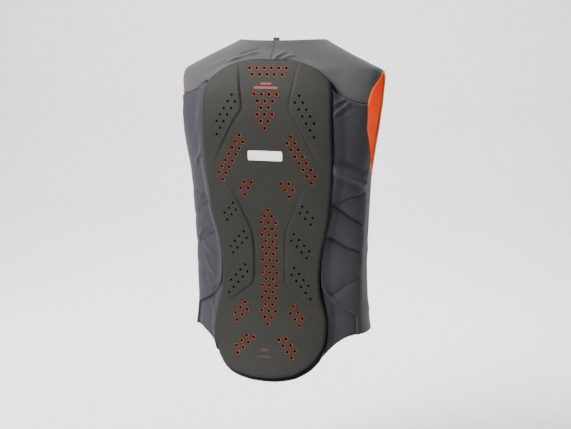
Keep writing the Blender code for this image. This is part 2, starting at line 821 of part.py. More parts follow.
def bindings(collection):
    """The orange cord sewn along each armhole's edge, just above the lining."""
    depth = (CLOTH + LINING_GAP) / 2 - GAP
    clear = BINDING_RADIUS + BINDING_GAP
    step = 0.01
    for name, side in (("right", 1), ("left", -1)):
        points = []
        for way in binding_ways():
            place = armhole(way)
            ahead = body_point(*armhole(way + step)) - body_point(*armhole(way - step))
            into_hole = ahead.cross(outward(*place)).normalized() * -1
            point = lifted(place, fold_height(*place) - depth) + into_hole * clear
            points.append(Vector((side * point.x, point.y, point.z)))
        curve = bpy.data.curves.new("binding", "CURVE")
        curve.dimensions = "3D"
        curve.bevel_depth = BINDING_RADIUS
        curve.bevel_resolution = 1
        spline = curve.splines.new("POLY")
        spline.points.add(len(points) - 1)
        for slot, point in zip(spline.points, points):
            slot.co = (*point, 1)
        spline.use_cyclic_u = True
        add_object("armhole_binding_" + name, curve, "orange_cloth", collection)


def hang_loop(collection):
    """A folded tape that stands up behind the neckline, sewn inside the collar."""
    place = (0.0, BACK_NECK_DROP)
    seat = lifted(place, -(lining_depth(place[1]) + LINING + LOOP_GAP))
    outer, inner = [], []
    steps = 6
    for points, half in ((outer, LOOP_HALF), (inner, LOOP_HALF - TAPE_THICK)):
        points.append((-half, -LOOP_TAIL))
        for k in range(steps + 1):
            turn = pi * k / steps
            points.append((-half * cos(turn), LOOP_RISE - LOOP_HALF + half * sin(turn)))
        points.append((half, -LOOP_TAIL))
    outline = outer + inner[::-1]
    shape = bmesh.new()
    corners = [shape.verts.new((0, seat.y + LOOP_HALF + y, z - BACK_NECK_DROP)) for y, z in outline]
    count = len(outer)
    for k in range(count - 1):
        shape.faces.new((corners[k], corners[k + 1], corners[2 * count - 2 - k], corners[2 * count - 1 - k]))
    mesh = bpy.data.meshes.new("hang_loop")
    shape.to_mesh(mesh)
    shape.free()
    obj = add_object("hang_loop", mesh, "tape", collection)
    wall = obj.modifiers.new("width", "SOLIDIFY")
    wall.thickness = TAPE_WIDTH
    wall.offset = 0


def main():
    for obj in list(bpy.data.objects):
        bpy.data.objects.remove(obj, do_unlink=True)
    vest = bpy.data.collections.new("protective_vest")
    cutters = bpy.data.collections.new("cutters")
    for collection in (vest, cutters):
        bpy.context.scene.collection.children.link(collection)
    protector(vest, cutters)
    yokes(vest)
    side_backs(vest)
    fronts(vest)
    lining(vest)
    bindings(vest)
    hang_loop(vest)


main()
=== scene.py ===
"""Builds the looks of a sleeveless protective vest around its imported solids.

Every piece lies on one body surface, as in the solids. A place on it is an angle round the body (0 at the
middle of the back, 90 at the right side, 180 at the middle of the front) and a drop below the origin.
"""

from collections import namedtuple

import bpy
import numpy as np
from bpy.props import FloatProperty, FloatVectorProperty, IntProperty, PointerProperty
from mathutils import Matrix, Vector


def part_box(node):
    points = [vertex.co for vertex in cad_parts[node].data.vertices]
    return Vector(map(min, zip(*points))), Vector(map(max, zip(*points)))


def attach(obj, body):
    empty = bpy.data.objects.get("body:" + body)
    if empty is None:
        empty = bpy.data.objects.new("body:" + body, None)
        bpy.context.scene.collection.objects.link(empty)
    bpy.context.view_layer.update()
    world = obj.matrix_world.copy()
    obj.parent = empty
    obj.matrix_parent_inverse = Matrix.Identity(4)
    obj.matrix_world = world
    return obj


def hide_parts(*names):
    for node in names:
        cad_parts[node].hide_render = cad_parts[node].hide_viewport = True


bl_info = {
    "name": "Protective Vest",
    "version": (1, 0, 0),
    "blender": (4, 5, 0),
    "location": "View3D > Sidebar > Vest",
    "description": "Builds a sleeveless vest with a perforated foam back protector",
    "category": "Object",
}

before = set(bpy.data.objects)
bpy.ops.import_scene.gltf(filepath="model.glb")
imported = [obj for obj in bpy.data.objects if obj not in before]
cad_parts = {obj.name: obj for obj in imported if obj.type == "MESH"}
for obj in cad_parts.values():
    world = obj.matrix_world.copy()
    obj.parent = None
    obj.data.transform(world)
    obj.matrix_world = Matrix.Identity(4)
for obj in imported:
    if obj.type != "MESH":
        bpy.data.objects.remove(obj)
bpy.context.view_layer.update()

# Body sizes, in metres
BACK_LENGTH = 0.674
SIDE_LENGTH = 0.572
NECK_HALF = 0.088
SHOULDER_HALF = 0.206
SHOULDER_DROP = 0.060
CHEST_HALF = 0.182
BACK_DEPTH = 0.081
FRONT_DEPTH = 0.108
BACK_NECK_DROP = 0.002
FRONT_NECK_DROP = 0.088

# Armhole sizes
ARMHOLE_DROP = 0.262
ARMHOLE_LOW = 0.018
ARMHOLE_TIP = 0.005
ARMHOLE_BACK = 0.063
ARMHOLE_FRONT = 0.0234

# Cloth sizes
LINING_GAP = 0.0022
LINING_SEAM_DEPTH = 0.0017
SEAM_RISE_WIDTH = 0.012
CLOTH_DEPTH = 0.0012
SHOULDER_EASE = 0.0020
RIM = 0.006
UNDERLAP = 0.004
# How far one degree round the body reaches along the cloth
DEGREE = 0.0031

# Back protector sizes
PANEL_HALF = 0.133
PANEL_TOP = 0.044
PANEL_LENGTH = 0.620
PANEL_SHOULDER = 0.036
PANEL_TAIL = 0.044
LAYER_GAP = 0.0009
INSERT = 0.006
FACE_GAP = 0.0003

# Sections of the body. Shoulder drops are shares of SHOULDER_DROP and the others of BACK_LENGTH. Shoulder
# halves are shares of the way from NECK_HALF to SHOULDER_HALF, chest halves of the way from CHEST_HALF to
# SHOULDER_HALF, and waist halves of CHEST_HALF. Side and back are shares of BACK_DEPTH, front of FRONT_DEPTH.
Section = namedtuple("Section", "drop half side back front back_square front_square")
SHOULDER_SECTIONS = (
    Section(0.00, 0.00, 0.00, 0.53, 0.32, 2.2, 2.2),
    Section(0.25, 0.26, -0.09, 0.60, 0.37, 2.4, 2.2),
    Section(0.50, 0.52, -0.17, 0.67, 0.43, 2.6, 2.3),
    Section(0.75, 0.78, -0.16, 0.73, 0.48, 2.8, 2.4),
    Section(1.00, 1.00, -0.01, 0.80, 0.54, 3.0, 2.4),
)
CHEST_SECTIONS = (
    Section(0.113, 1.21, 0.03, 0.86, 0.62, 3.1, 2.4),
    Section(0.163, 1.14, -0.05, 0.95, 0.73, 3.2, 2.4),
    Section(0.237, 0.82, -0.15, 1.00, 0.86, 3.4, 2.4),
    Section(0.312, 0.42, -0.16, 0.98, 0.95, 3.5, 2.3),
    Section(0.399, 0.02, -0.15, 0.91, 1.00, 3.6, 2.3),
)
WAIST_SECTIONS = (
    Section(0.519, 0.986, -0.16, 0.78, 0.98, 3.4, 2.2),
    Section(0.638, 0.972, -0.17, 0.70, 0.93, 3.2, 2.2),
    Section(0.757, 0.980, -0.15, 0.74, 0.94, 3.0, 2.3),
    Section(0.875, 1.014, -0.10, 0.95, 1.02, 2.8, 2.3),
    Section(1.000, 1.025, -0.05, 1.31, 1.05, 2.6, 2.3),
)

# The armhole's edge from the underarm to the shoulder tip, as shares of ARMHOLE_BACK and ARMHOLE_FRONT
ArmholeRow = namedtuple("ArmholeRow", "way behind before")
ARMHOLE_EDGE = (
    ArmholeRow(0.0, 0.00, 0.00),
    ArmholeRow(0.1, 0.16, 0.38),
    ArmholeRow(0.2, 0.40, 0.58),
    ArmholeRow(0.3, 0.69, 0.71),
    ArmholeRow(0.4, 0.87, 0.82),
    ArmholeRow(0.5, 1.00, 0.92),
    ArmholeRow(0.6, 0.98, 0.98),
    ArmholeRow(0.7, 0.86, 1.00),
    ArmholeRow(0.8, 0.62, 0.92),
    ArmholeRow(0.9, 0.31, 0.58),
    ArmholeRow(1.0, 0.00, 0.00),
)

# The protector's side edge, with the middle band between its raised pads, and how far the pads rise there
Edge = namedtuple("Edge", "way half band rise")
PANEL_EDGE = (
    Edge(0.000, 0.930, 0.470, 0.00),
    Edge(0.020, 0.965, 0.455, 0.25),
    Edge(0.070, 0.985, 0.415, 0.90),
    Edge(0.105, 0.991, 0.385, 1.00),
    Edge(0.140, 0.995, 0.362, 1.00),
    Edge(0.185, 0.998, 0.500, 1.00),
    Edge(0.240, 1.000, 0.655, 0.90),
    Edge(0.290, 0.994, 0.790, 0.45),
    Edge(0.330, 0.985, 0.900, 0.00),
    Edge(0.370, 0.970, 0.650, 0.00),
    Edge(0.400, 0.955, 0.545, 0.45),
    Edge(0.470, 0.920, 0.390, 1.00),
    Edge(0.545, 0.862, 0.258, 1.00),
    Edge(0.610, 0.803, 0.238, 1.00),
    Edge(0.675, 0.775, 0.238, 1.00),
    Edge(0.702, 0.771, 0.262, 1.00),
    Edge(0.738, 0.778, 0.430, 0.95),
    Edge(0.785, 0.806, 0.640, 0.35),
    Edge(0.815, 0.840, 0.760, 0.00),
    Edge(0.865, 0.885, 0.800, 0.00),
    Edge(0.910, 0.893, 0.800, 0.00),
    Edge(0.955, 0.868, 0.780, 0.00),
    Edge(1.000, 0.770, 0.700, 0.00),
)
End = namedtuple("End", "across top tail")
PANEL_ENDS = (
    End(0.00, 0.00, 1.00),
    End(0.20, -0.03, 0.98),
    End(0.40, -0.02, 0.91),
    End(0.60, 0.16, 0.78),
    End(0.75, 0.37, 0.59),
    End(0.88, 0.65, 0.35),
    End(1.00, 1.00, 0.00),
)

# Rows of perforations on the right half, mirrored to the left: the first hole's place, the step to the next
# and the count, in metres. Ringed ones show the insert round a dark centre.
HoleRow = namedtuple("HoleRow", "across drop step_across step_drop count ringed")
HOLE_ROWS = (
    HoleRow(0.0077, 0.0537, 0.0153, 0.0, 3, True),
    HoleRow(0.0154, 0.0659, 0.0155, 0.0, 2, True),
    HoleRow(0.0078, 0.1035, 0.0156, 0.0, 2, True),
    HoleRow(0.0157, 0.1165, 0.0, 0.0, 1, True),
    HoleRow(0.0078, 0.1290, 0.0, 0.0, 1, True),
    HoleRow(0.0156, 0.1420, 0.0, 0.0, 1, True),
    HoleRow(0.0079, 0.1550, 0.0, 0.0, 1, True),
    HoleRow(0.0541, 0.1828, 0.00783, 0.0126, 7, True),
    HoleRow(0.0466, 0.1960, 0.00783, 0.0126, 7, True),
    HoleRow(0.0313, 0.2750, 0.0079, 0.0124, 3, True),
    HoleRow(0.0470, 0.2748, 0.0079, 0.0124, 2, True),
    HoleRow(0.0522, 0.5187, 0.0100, 0.0112, 3, True),
    HoleRow(0.0471, 0.5325, 0.0100, 0.0112, 3, True),
    HoleRow(0.0427, 0.5828, 0.0101, 0.0106, 3, True),
    HoleRow(0.0274, 0.5851, 0.0102, 0.0107, 4, True),
    HoleRow(0.0703, 0.1051, 0.00785, 0.0129, 5, False),
    HoleRow(0.0626, 0.1180, 0.00785, 0.0129, 6, False),
    HoleRow(0.0731, 0.3181, 0.0103, 0.0106, 3, False),
    HoleRow(0.0682, 0.3315, 0.0103, 0.0106, 3, False),
    HoleRow(0.0535, 0.3745, 0.0102, 0.01075, 4, False),
    HoleRow(0.0481, 0.3879, 0.0102, 0.01075, 4, False),
    HoleRow(0.0529, 0.4424, 0.0100, 0.0111, 4, False),
    HoleRow(0.0476, 0.4562, 0.0100, 0.0112, 5, False),
)
MIDDLE_HOLES = (0.0659, 0.1165, 0.1420, 0.1680)
SPINE_TOP = 0.3293
SPINE_STEP = 0.01264
SPINE_PITCH = 0.0152
SPINE_ROWS = 19

# Where the seams meet the armhole's edge and the neckline
SEAM_WAY = -0.28
SEAM_HEM_ANGLE = 66.0
YOKE_BACK_WAY = -0.655
YOKE_SEAM_SAG = 0.008
YOKE_SEAM_TILT = 0.007
YOKE_TILT_START = 0.2
YOKE_FRONT_WAY = 0.70
YOKE_NECK_WAY = 0.30
FRONT_NECK_WAY = 0.955
RIM_START = 0.88
HEM_RISE = 0.009
HEM_CURVE = 3.3
ZIP_HALF = 0.006

# How far the left side leans in towards the hem, as a share of the body's half width, and where it starts
LEFT_LEAN = 0.022
LEAN_START = 0.44
LEAN_LENGTH = 0.10

# How far the hem falls lower on the left, and where the cloth starts to follow it: its drops, and its angles
# beside the protector and at the front, each with the width of its slope
LEFT_HEM_FALL = 0.007
FALL_START = 0.50
FALL_LENGTH = 0.07
FALL_BACK = (34, 14)
FALL_FRONT = (150, 50)

# Soft folds. Each runs from one place to another, bowed sideways in its middle, and its slopes reach about
# twice its width. Angles left of the middle of the back are negative. A negative height is a dent. FOLD_END
# is the share of a fold's length over which each end fades.
Fold = namedtuple("Fold", "start_angle start_drop end_angle end_drop bow width height")
FOLD_END = 0.3
SIDE_FOLDS = (
    Fold(33.0, 0.234, 76.0, 0.276, -0.007, 0.0080, 0.0088),
    Fold(37.0, 0.224, 76.0, 0.251, -0.006, 0.0060, -0.0042),
    Fold(36.5, 0.262, 60.0, 0.300, -0.004, 0.0110, 0.0020),
    Fold(34.0, 0.124, 42.5, 0.108, 0.000, 0.0030, 0.0034),
    Fold(34.0, 0.151, 45.0, 0.114, 0.002, 0.0032, 0.0036),
    Fold(35.0, 0.160, 50.0, 0.132, 0.003, 0.0040, 0.0012),
    Fold(38.6, 0.300, 32.0, 0.430, -0.001, 0.0034, 0.0030),
    Fold(32.4, 0.395, 33.0, 0.490, -0.001, 0.0034, 0.0030),
    Fold(31.8, 0.465, 46.5, 0.515, -0.006, 0.0032, 0.0036),
    Fold(44.0, 0.540, 62.0, 0.556, 0.002, 0.0080, 0.0012),
    Fold(-40.0, 0.222, -48.0, 0.238, 0.000, 0.0035, 0.0022),
    Fold(-38.5, 0.205, -50.0, 0.252, 0.003, 0.0040, 0.0020),
    Fold(-37.0, 0.120, -47.0, 0.210, 0.004, 0.0055, 0.0012),
    Fold(-43.5, 0.300, -50.0, 0.314, 0.001, 0.0026, 0.0018),
    Fold(-44.0, 0.364, -38.0, 0.371, 0.001, 0.0028, 0.0020),
    Fold(-58.0, 0.410, -46.0, 0.378, 0.004, 0.0035, 0.0026),
    Fold(-52.0, 0.392, -37.5, 0.432, -0.004, 0.0050, 0.0022),
    Fold(-50.0, 0.420, -37.5, 0.476, -0.004, 0.0050, 0.0018),
    Fold(-48.0, 0.468, -37.5, 0.500, -0.002, 0.0045, 0.0016),
    Fold(-44.0, 0.508, -37.0, 0.488, 0.002, 0.0030, 0.0020),
    Fold(-45.0, 0.520, -39.5, 0.560, 0.003, 0.0050, 0.0016),
)
YOKE_FOLDS = (
    Fold(-33.0, 0.048, -9.0, 0.024, 0.004, 0.0042, 0.0048),
    Fold(-30.0, 0.036, -10.0, 0.018, 0.003, 0.0034, -0.0016),
    Fold(1.2, 0.041, 13.0, 0.024, 0.002, 0.0032, 0.0044),
    Fold(7.0, 0.041, 19.0, 0.030, 0.002, 0.0030, 0.0036),
    Fold(-40.0, 0.056, -22.0, 0.030, 0.004, 0.0100, 0.0016),
    Fold(22.0, 0.030, 40.0, 0.060, -0.004, 0.0100, 0.0016),
    Fold(50.0, 0.085, 80.0, 0.050, 0.004, 0.0120, 0.0012),
    Fold(-80.0, 0.050, -52.0, 0.085, 0.004, 0.0120, 0.0012),
)
FRONT_FOLDS = (
    Fold(108.0, 0.290, 150.0, 0.330, 0.006, 0.0100, 0.0024),
    Fold(112.0, 0.260, 140.0, 0.240, 0.004, 0.0080, 0.0018),
    Fold(96.0, 0.420, 140.0, 0.400, 0.006, 0.0120, 0.0016),
    Fold(125.0, 0.110, 150.0, 0.150, 0.004, 0.0090, 0.0018),
    Fold(82.0, 0.520, 130.0, 0.545, 0.004, 0.0110, 0.0016),
)
# Sewn lines across the stretch sides: the cloth is held down along each, and swells between them
Seam = namedtuple("Seam", "start_angle start_drop end_angle end_drop width depth")
SIDE_SEAMS = (
    Seam(38.5, 0.313, 50.7, 0.299, 0.0016, 0.7),
    Seam(50.7, 0.299, 78.0, 0.289, 0.0016, 0.7),
    Seam(38.5, 0.315, 50.6, 0.340, 0.0026, 1.0),
    Seam(50.6, 0.340, 80.3, 0.367, 0.0026, 1.0),
    Seam(35.5, 0.378, 48.9, 0.400, 0.0024, 1.0),
    Seam(48.9, 0.400, 88.0, 0.422, 0.0024, 1.0),
    Seam(37.0, 0.499, 48.2, 0.474, 0.0014, 0.7),
    Seam(48.2, 0.474, 78.0, 0.443, 0.0014, 0.6),
)

# Where the sides' padding begins, as angles down the body. Inside that line the cloth keeps a share of its
# swell, and PAD_SLOPE is the width of the slope between.
PadRow = namedtuple("PadRow", "drop angle")
PAD_LINE = (
    PadRow(0.280, 30.0),
    PadRow(0.300, 33.0),
    PadRow(0.315, 37.6),
    PadRow(0.371, 34.5),
    PadRow(0.434, 31.8),
    PadRow(0.474, 32.2),
    PadRow(0.503, 37.5),
    PadRow(0.518, 43.6),
    PadRow(0.535, 60.0),
)
PAD_REST = 0.15
PAD_SLOPE = 0.0045

# Turns a place on the right side into the same one on the left
FLIP = np.array([-1.0, 1.0])


def smooth(rows, x):
    """Values at x of a curve through (x, y) rows that never overshoots them."""
    xs, ys = np.array(rows, float).T
    slopes = np.diff(ys) / np.diff(xs)
    before, after = slopes[:-1], slopes[1:]
    level = before * after <= 0
    middle = np.where(level, 0.0, 2 * before * after / np.where(level, 1.0, before + after))
    tangents = np.concatenate([slopes[:1], middle, slopes[-1:]])
    i = np.clip(np.searchsorted(xs, x, side="right") - 1, 0, len(slopes) - 1)
    width = xs[i + 1] - xs[i]
    t = np.clip((x - xs[i]) / width, 0, 1)
    start = ys[i] * (1 + 2 * t) * (1 - t) ** 2 + tangents[i] * width * t * (1 - t) ** 2
    return start + ys[i + 1] * t * t * (3 - 2 * t) + tangents[i + 1] * width * t * t * (t - 1)


def real_sections():
    """The sections' columns as rows of (drop, value), in metres."""
    rows = []
    for s in SHOULDER_SECTIONS:
        rows.append((s.drop * SHOULDER_DROP, NECK_HALF + s.half * (SHOULDER_HALF - NECK_HALF), s))
    for s in CHEST_SECTIONS:
        rows.append((s.drop * BACK_LENGTH, CHEST_HALF + s.half * (SHOULDER_HALF - CHEST_HALF), s))
    for s in WAIST_SECTIONS:
        rows.append((s.drop * BACK_LENGTH, s.half * CHEST_HALF, s))
    return {
        "half": [(drop, half) for drop, half, s in rows],
        "side": [(drop, s.side * BACK_DEPTH) for drop, half, s in rows],
        "back": [(drop, -s.back * BACK_DEPTH) for drop, half, s in rows],
        "front": [(drop, s.front * FRONT_DEPTH) for drop, half, s in rows],
        "back_square": [(drop, s.back_square) for drop, half, s in rows],
        "front_square": [(drop, s.front_square) for drop, half, s in rows],
    }


SECTIONS = real_sections()


def surface(angle, drop):
    """Points on the body surface."""
    s = {name: smooth(rows, drop) for name, rows in SECTIONS.items()}
    across, along = np.sin(np.radians(angle)), np.cos(np.radians(angle))
    behind = along >= 0
    square = np.where(behind, s["back_square"], s["front_square"])
    depth = np.where(behind, s["back"], s["front"])
    reach = (np.abs(across) ** square + np.abs(along) ** square) ** (-1 / square)
    y = s["side"] + (depth - s["side"]) * np.abs(along) * reach
    half = s["half"] * (1 - LEFT_LEAN * eased(-across) * eased((drop - LEAN_START) / LEAN_LENGTH))
    return np.stack([half * across * reach, y, -drop * np.ones_like(y)], axis=-1)


def facing(angle, drop):
    """The body surface's normals, pointing away from the body."""
    turn, fall = 0.5, 0.0008
    around = surface(angle + turn, drop) - surface(angle - turn, drop)
    down = surface(angle, drop + fall) - surface(angle, drop - fall)
    normal = np.cross(down, around)
    return normal / np.linalg.norm(normal, axis=-1, keepdims=True)


def lifted(places, height):
    """Points above the body surface. Places end in (angle, drop)."""
    angle, drop = places[..., 0], places[..., 1]
    height = np.asarray(height, float)
    return surface(angle, drop) + facing(angle, drop) * (height[..., None] if height.ndim else height)


def place(angle, drop):
    """Places from angles and drops."""
    angle, drop = np.broadcast_arrays(np.asarray(angle, float), np.asarray(drop, float))
    return np.stack([angle, drop], axis=-1)


def angle_across(across, drop, front=False):
    """The angle at which the body surface is this far from the middle."""
    square = smooth(SECTIONS["front_square" if front else "back_square"], drop)
    share = np.minimum(np.abs(across) / smooth(SECTIONS["half"], drop), 0.9999) ** square
    angle = np.degrees(np.arctan((share / (1 - share)) ** (1 / square)))
    return np.where(np.asarray(across) >= 0, 1, -1) * (180 - angle if front else angle)


def angle_along(along, drop):
    """The angle on the right side at which the body surface is this far before the shoulder line."""
    side = smooth(SECTIONS["side"], drop)
    front = along > side
    square = np.where(front, smooth(SECTIONS["front_square"], drop), smooth(SECTIONS["back_square"], drop))
    depth = np.where(front, smooth(SECTIONS["front"], drop), smooth(SECTIONS["back"], drop)) - side
    share = np.clip((along - side) / depth, 1e-4, 0.9999) ** square
    turn = np.degrees(np.arctan(((1 - share) / share) ** (1 / square)))
    return np.where(front, 180 - turn, turn)


def armhole(way):
    """The armhole's edge: -1 at the shoulder tip, down behind, 0 underarm, and up before to the tip at 1."""
    way = np.asarray(way, float)
    middle = (ARMHOLE_DROP + SHOULDER_DROP) / 2
    drop = middle + (ARMHOLE_DROP - middle) * np.cos(np.pi * way)
    line = ARMHOLE_LOW + (ARMHOLE_TIP - ARMHOLE_LOW) * np.abs(way)
    before = ARMHOLE_FRONT * smooth([(row.way, row.before) for row in ARMHOLE_EDGE], np.abs(way))
    behind = ARMHOLE_BACK * smooth([(row.way, row.behind) for row in ARMHOLE_EDGE], np.abs(way))
    return place(angle_along(np.where(way > 0, line + before, line - behind), drop), drop)


def neckline(way):
    """The neckline: -1 at the middle of the back, 0 on the shoulder, 1 at the middle of the front."""
    way = np.asarray(way, float)
    turn = np.pi / 2 * way
    low = FRONT_NECK_DROP * np.sin(np.maximum(turn, 0))
    front = angle_across(NECK_HALF * np.cos(turn), low, front=True)
    behind = way <= 0
    back_drop = BACK_NECK_DROP * np.sin(turn) ** 2
    return place(np.where(behind, 90 * (1 + way), front), np.where(behind, back_drop, low))


def between(a, b, t):
    """Places part of the way from one to another."""
    a, b, t = np.asarray(a, float), np.asarray(b, float), np.asarray(t, float)
    return a + (b - a) * (t[..., None] if t.ndim else t)


def edge_at(column, way):
    """A column of PANEL_EDGE at some way down the protector's side."""
    return smooth([(row.way, getattr(row, column)) for row in PANEL_EDGE], way)


def end_at(column, across):
    """A column of PANEL_ENDS at some share across the protector."""
    return smooth([(row.across, getattr(row, column)) for row in PANEL_ENDS], np.abs(across))


def panel_drop(across, way, grow=0.0):
    """How far below the origin a place on the protector lies."""
    top = PANEL_TOP - grow + PANEL_SHOULDER * end_at("top", across)
    tail = PANEL_TOP + PANEL_LENGTH - PANEL_TAIL + grow + PANEL_TAIL * end_at("tail", across)
    return top + (tail - top) * way


def panel_place(across, way, grow=0.0):
    """Places on the protector: across from -1 to 1 and the way down its sides from 0 to 1."""
    across, way = np.broadcast_arrays(np.asarray(across, float), np.asarray(way, float))
    drop = panel_drop(across, way, grow)
    half = edge_at("half", way) * PANEL_HALF + grow
    return place(angle_across(across * half, drop), drop)


def base_place(across, way):
    """The edge of the cloth behind the protector: tucked under its edge, and a rim round its tail."""
    share = np.clip((np.asarray(way, float) - RIM_START) / (1 - RIM_START), 0, 1)
    return panel_place(across, way, -UNDERLAP + (UNDERLAP + RIM) * share)


def panel_way(x, drop):
    """The way down the protector's sides at a distance from its middle and a drop."""
    way = (drop - PANEL_TOP) / PANEL_LENGTH
    for _ in range(6):
        across = np.clip(x / (edge_at("half", way) * PANEL_HALF), -1, 1)
        top, tail = panel_drop(across, 0.0), panel_drop(across, 1.0)
        way = np.clip((drop - top) / (tail - top), 0, 1)
    return way


def eased(share):
    """A smooth step from 0 to 1."""
    share = np.clip(share, 0, 1)
    return share * share * (3 - 2 * share)


def bell(distance, width):
    """1 on a line, falling to 0 within about twice a width of it."""
    return np.exp(-((distance / width) ** 2))


def crease_share(x, way, sizes):
    """1 along the foot of each raised pad, falling to 0 beside it."""
    step = (np.abs(x) - edge_at("band", way) * PANEL_HALF) / sizes.crease_width
    return edge_at("rise", way) * bell(step - 0.05, 0.35)


def face_height(x, way, sizes):
    """How high the protector's outer face stands above the body surface."""
    step = (np.abs(x) - edge_at("band", way) * PANEL_HALF) / sizes.crease_width
    pads = sizes.pad_height * edge_at("rise", way) * eased(step)
    dent = sizes.crease_depth * crease_share(x, way, sizes)
    return LAYER_GAP + INSERT + FACE_GAP + sizes.foam + pads - dent


def under_face(x, drop, sizes):
    """Places under points of the protector's face, which leans out from the body, and their heights."""
    x, drop = np.broadcast_arrays(np.asarray(x, float), np.asarray(drop, float))
    across, down = x.copy(), drop.copy()
    for _ in range(4):
        spots = place(angle_across(across, down), down)
        height = face_height(across, panel_way(across, down), sizes)
        point = lifted(spots, height)
        across = across + x - point[..., 0]
        down = down + drop + point[..., 2]
    return place(angle_across(across, down), down), height


def face_point(x, drop, sizes, rise=0.0):
    """Points on the protector's outer face."""
    spots, height = under_face(x, drop, sizes)
    return lifted(spots, height + rise)


def yoke_end(fall):
    """Where on the armhole's edge the yoke's back seam ends when it falls lower by some distance."""
    reach = (ARMHOLE_DROP - SHOULDER_DROP) / 2
    return YOKE_BACK_WAY - fall / (reach * np.pi * np.sin(np.pi * YOKE_BACK_WAY))


def yoke_seam(way, fall=0.0):
    """The yoke's back seam, from the protector's corner to the armhole."""
    way = np.asarray(way, float)
    spots = between(base_place(1.0, 0.0), armhole(yoke_end(fall)), way)
    spots[..., 1] += YOKE_SEAM_SAG * np.sin(np.pi * way) + fall * (eased(way / YOKE_TILT_START) - way)
    return spots


def side_seam(way):
    """The side seam, from the hem to the armhole."""
    return between((SEAM_HEM_ANGLE, SIDE_LENGTH), armhole(SEAM_WAY), way)


def back_hem(way):
    """The hem beside the protector, from its tail to the side seam."""
    tail = base_place(1.0, 1.0)
    spots = between(tail, side_seam(0.0), way)
    spots[..., 1] = SIDE_LENGTH + (tail[1] - SIDE_LENGTH) * (1 - np.asarray(way, float)) ** HEM_CURVE
    return spots


def left_hem(places):
    """The left side's places, with the hem a little lower beside the protector."""
    angle, drop = places[..., 0], places[..., 1]
    beside = eased((-angle - FALL_BACK[0]) / FALL_BACK[1]) * eased((FALL_FRONT[0] + angle) / FALL_FRONT[1])
    low = drop + LEFT_HEM_FALL * beside * eased((drop - FALL_START) / FALL_LENGTH)
    return place(angle, low)


def run(edge, start, end, count):
    """Places along part of an edge."""
    return edge(np.linspace(start, end, count + 1))


def chained(*runs):
    """Runs of places joined end to end."""
    return np.concatenate([runs[0]] + [places[1:] for places in runs[1:]])


def coons(bottom, top, left, right):
    """Rows of places inside four edges, from the bottom up."""
    u = np.linspace(0, 1, len(bottom))[None, :, None]
    v = np.linspace(0, 1, len(left))[:, None, None]
    ruled = bottom[None] * (1 - v) + top[None] * v
    crossed = left[:, None] * (1 - u) + right[:, None] * u
    low = bottom[0] * (1 - u) + bottom[-1] * u
    high = top[0] * (1 - u) + top[-1] * u
    return ruled + crossed - (low * (1 - v) + high * v)


def mirrored(places):
    """The same rows of places on the other side of the body, still facing out."""
    return places[:, ::-1] * FLIP


def fold_relief(places, folds):
    """How far the folds lift the cloth."""
    angle, drop = places[..., 0], places[..., 1]
    total = np.zeros(angle.shape)
    for fold in folds:
        run_x = (fold.end_angle - fold.start_angle) * DEGREE
        run_y = fold.end_drop - fold.start_drop
        length = np.hypot(run_x, run_y)
        x, y = (angle - fold.start_angle) * DEGREE, drop - fold.start_drop
        share = (x * run_x + y * run_y) / length**2
        aside = (x * run_y - y * run_x) / length - fold.bow * 4 * share * (1 - share)
        fade = eased(share / FOLD_END) * eased((1 - share) / FOLD_END)
        total += fold.height * fade * bell(aside, fold.width)
    return total


def seam_hold(places, seams):
    """1 where the cloth is free, falling to 0 along a sewn line."""
    angle, drop = np.abs(places[..., 0]), places[..., 1]
    free = np.ones(angle.shape)
    for seam in seams:
        run_x = (seam.end_angle - seam.start_angle) * DEGREE
        run_y = seam.end_drop - seam.start_drop
        x, y = (angle - seam.start_angle) * DEGREE, drop - seam.start_drop
        share = np.clip((x * run_x + y * run_y) / (run_x**2 + run_y**2), 0, 1)
        distance = np.hypot(x - run_x * share, y - run_y * share)
        free *= 1 - seam.depth * bell(distance, seam.width)
    return free


def wide_hold(places, seams, width):
    """The broad swell of the cloth between sewn lines."""
    return seam_hold(places, [seam._replace(width=width) for seam in seams])


def border_distance(places, side):
    """How far each place lies from its own row's or column's end on one side of a grid."""
    points = surface(places[..., 0], places[..., 1])
    borders = {"bottom": points[:1], "top": points[-1:], "left": points[:, :1], "right": points[:, -1:]}
    return np.linalg.norm(points - borders[side], axis=-1)


def edge_fade(places, width, sides):
    """Falls to 0 within a width of the named sides of a grid of places."""
    fade = np.ones(places.shape[:2])
    for side in sides:
        fade *= eased(border_distance(places, side) / width)
    return fade


def hem_band(places, width, lift, side="bottom"):
    """A doubled band of cloth along one side of a grid."""
    return lift * (1 - eased((border_distance(places, side) - width) / (width * 0.12)))


def side_pad(places):
    """1 on the padded part of a stretch side, which begins along a line beside the protector."""
    angle, drop = np.abs(places[..., 0]), places[..., 1]
    line = smooth([(row.drop, row.angle) for row in PAD_LINE], drop)
    return PAD_REST + (1 - PAD_REST) * eased((angle - line) * DEGREE / PAD_SLOPE)


def add_uv(mesh, spots):
    """Gives a mesh its cloth coordinates, one pair for each vertex."""
    corners = np.zeros(len(mesh.loops), np.int32)
    mesh.loops.foreach_get("vertex_index", corners)
    layer = mesh.uv_layers.new(name="cloth")
    layer.data.foreach_set("uv", spots[corners].astype(np.float32).ravel())


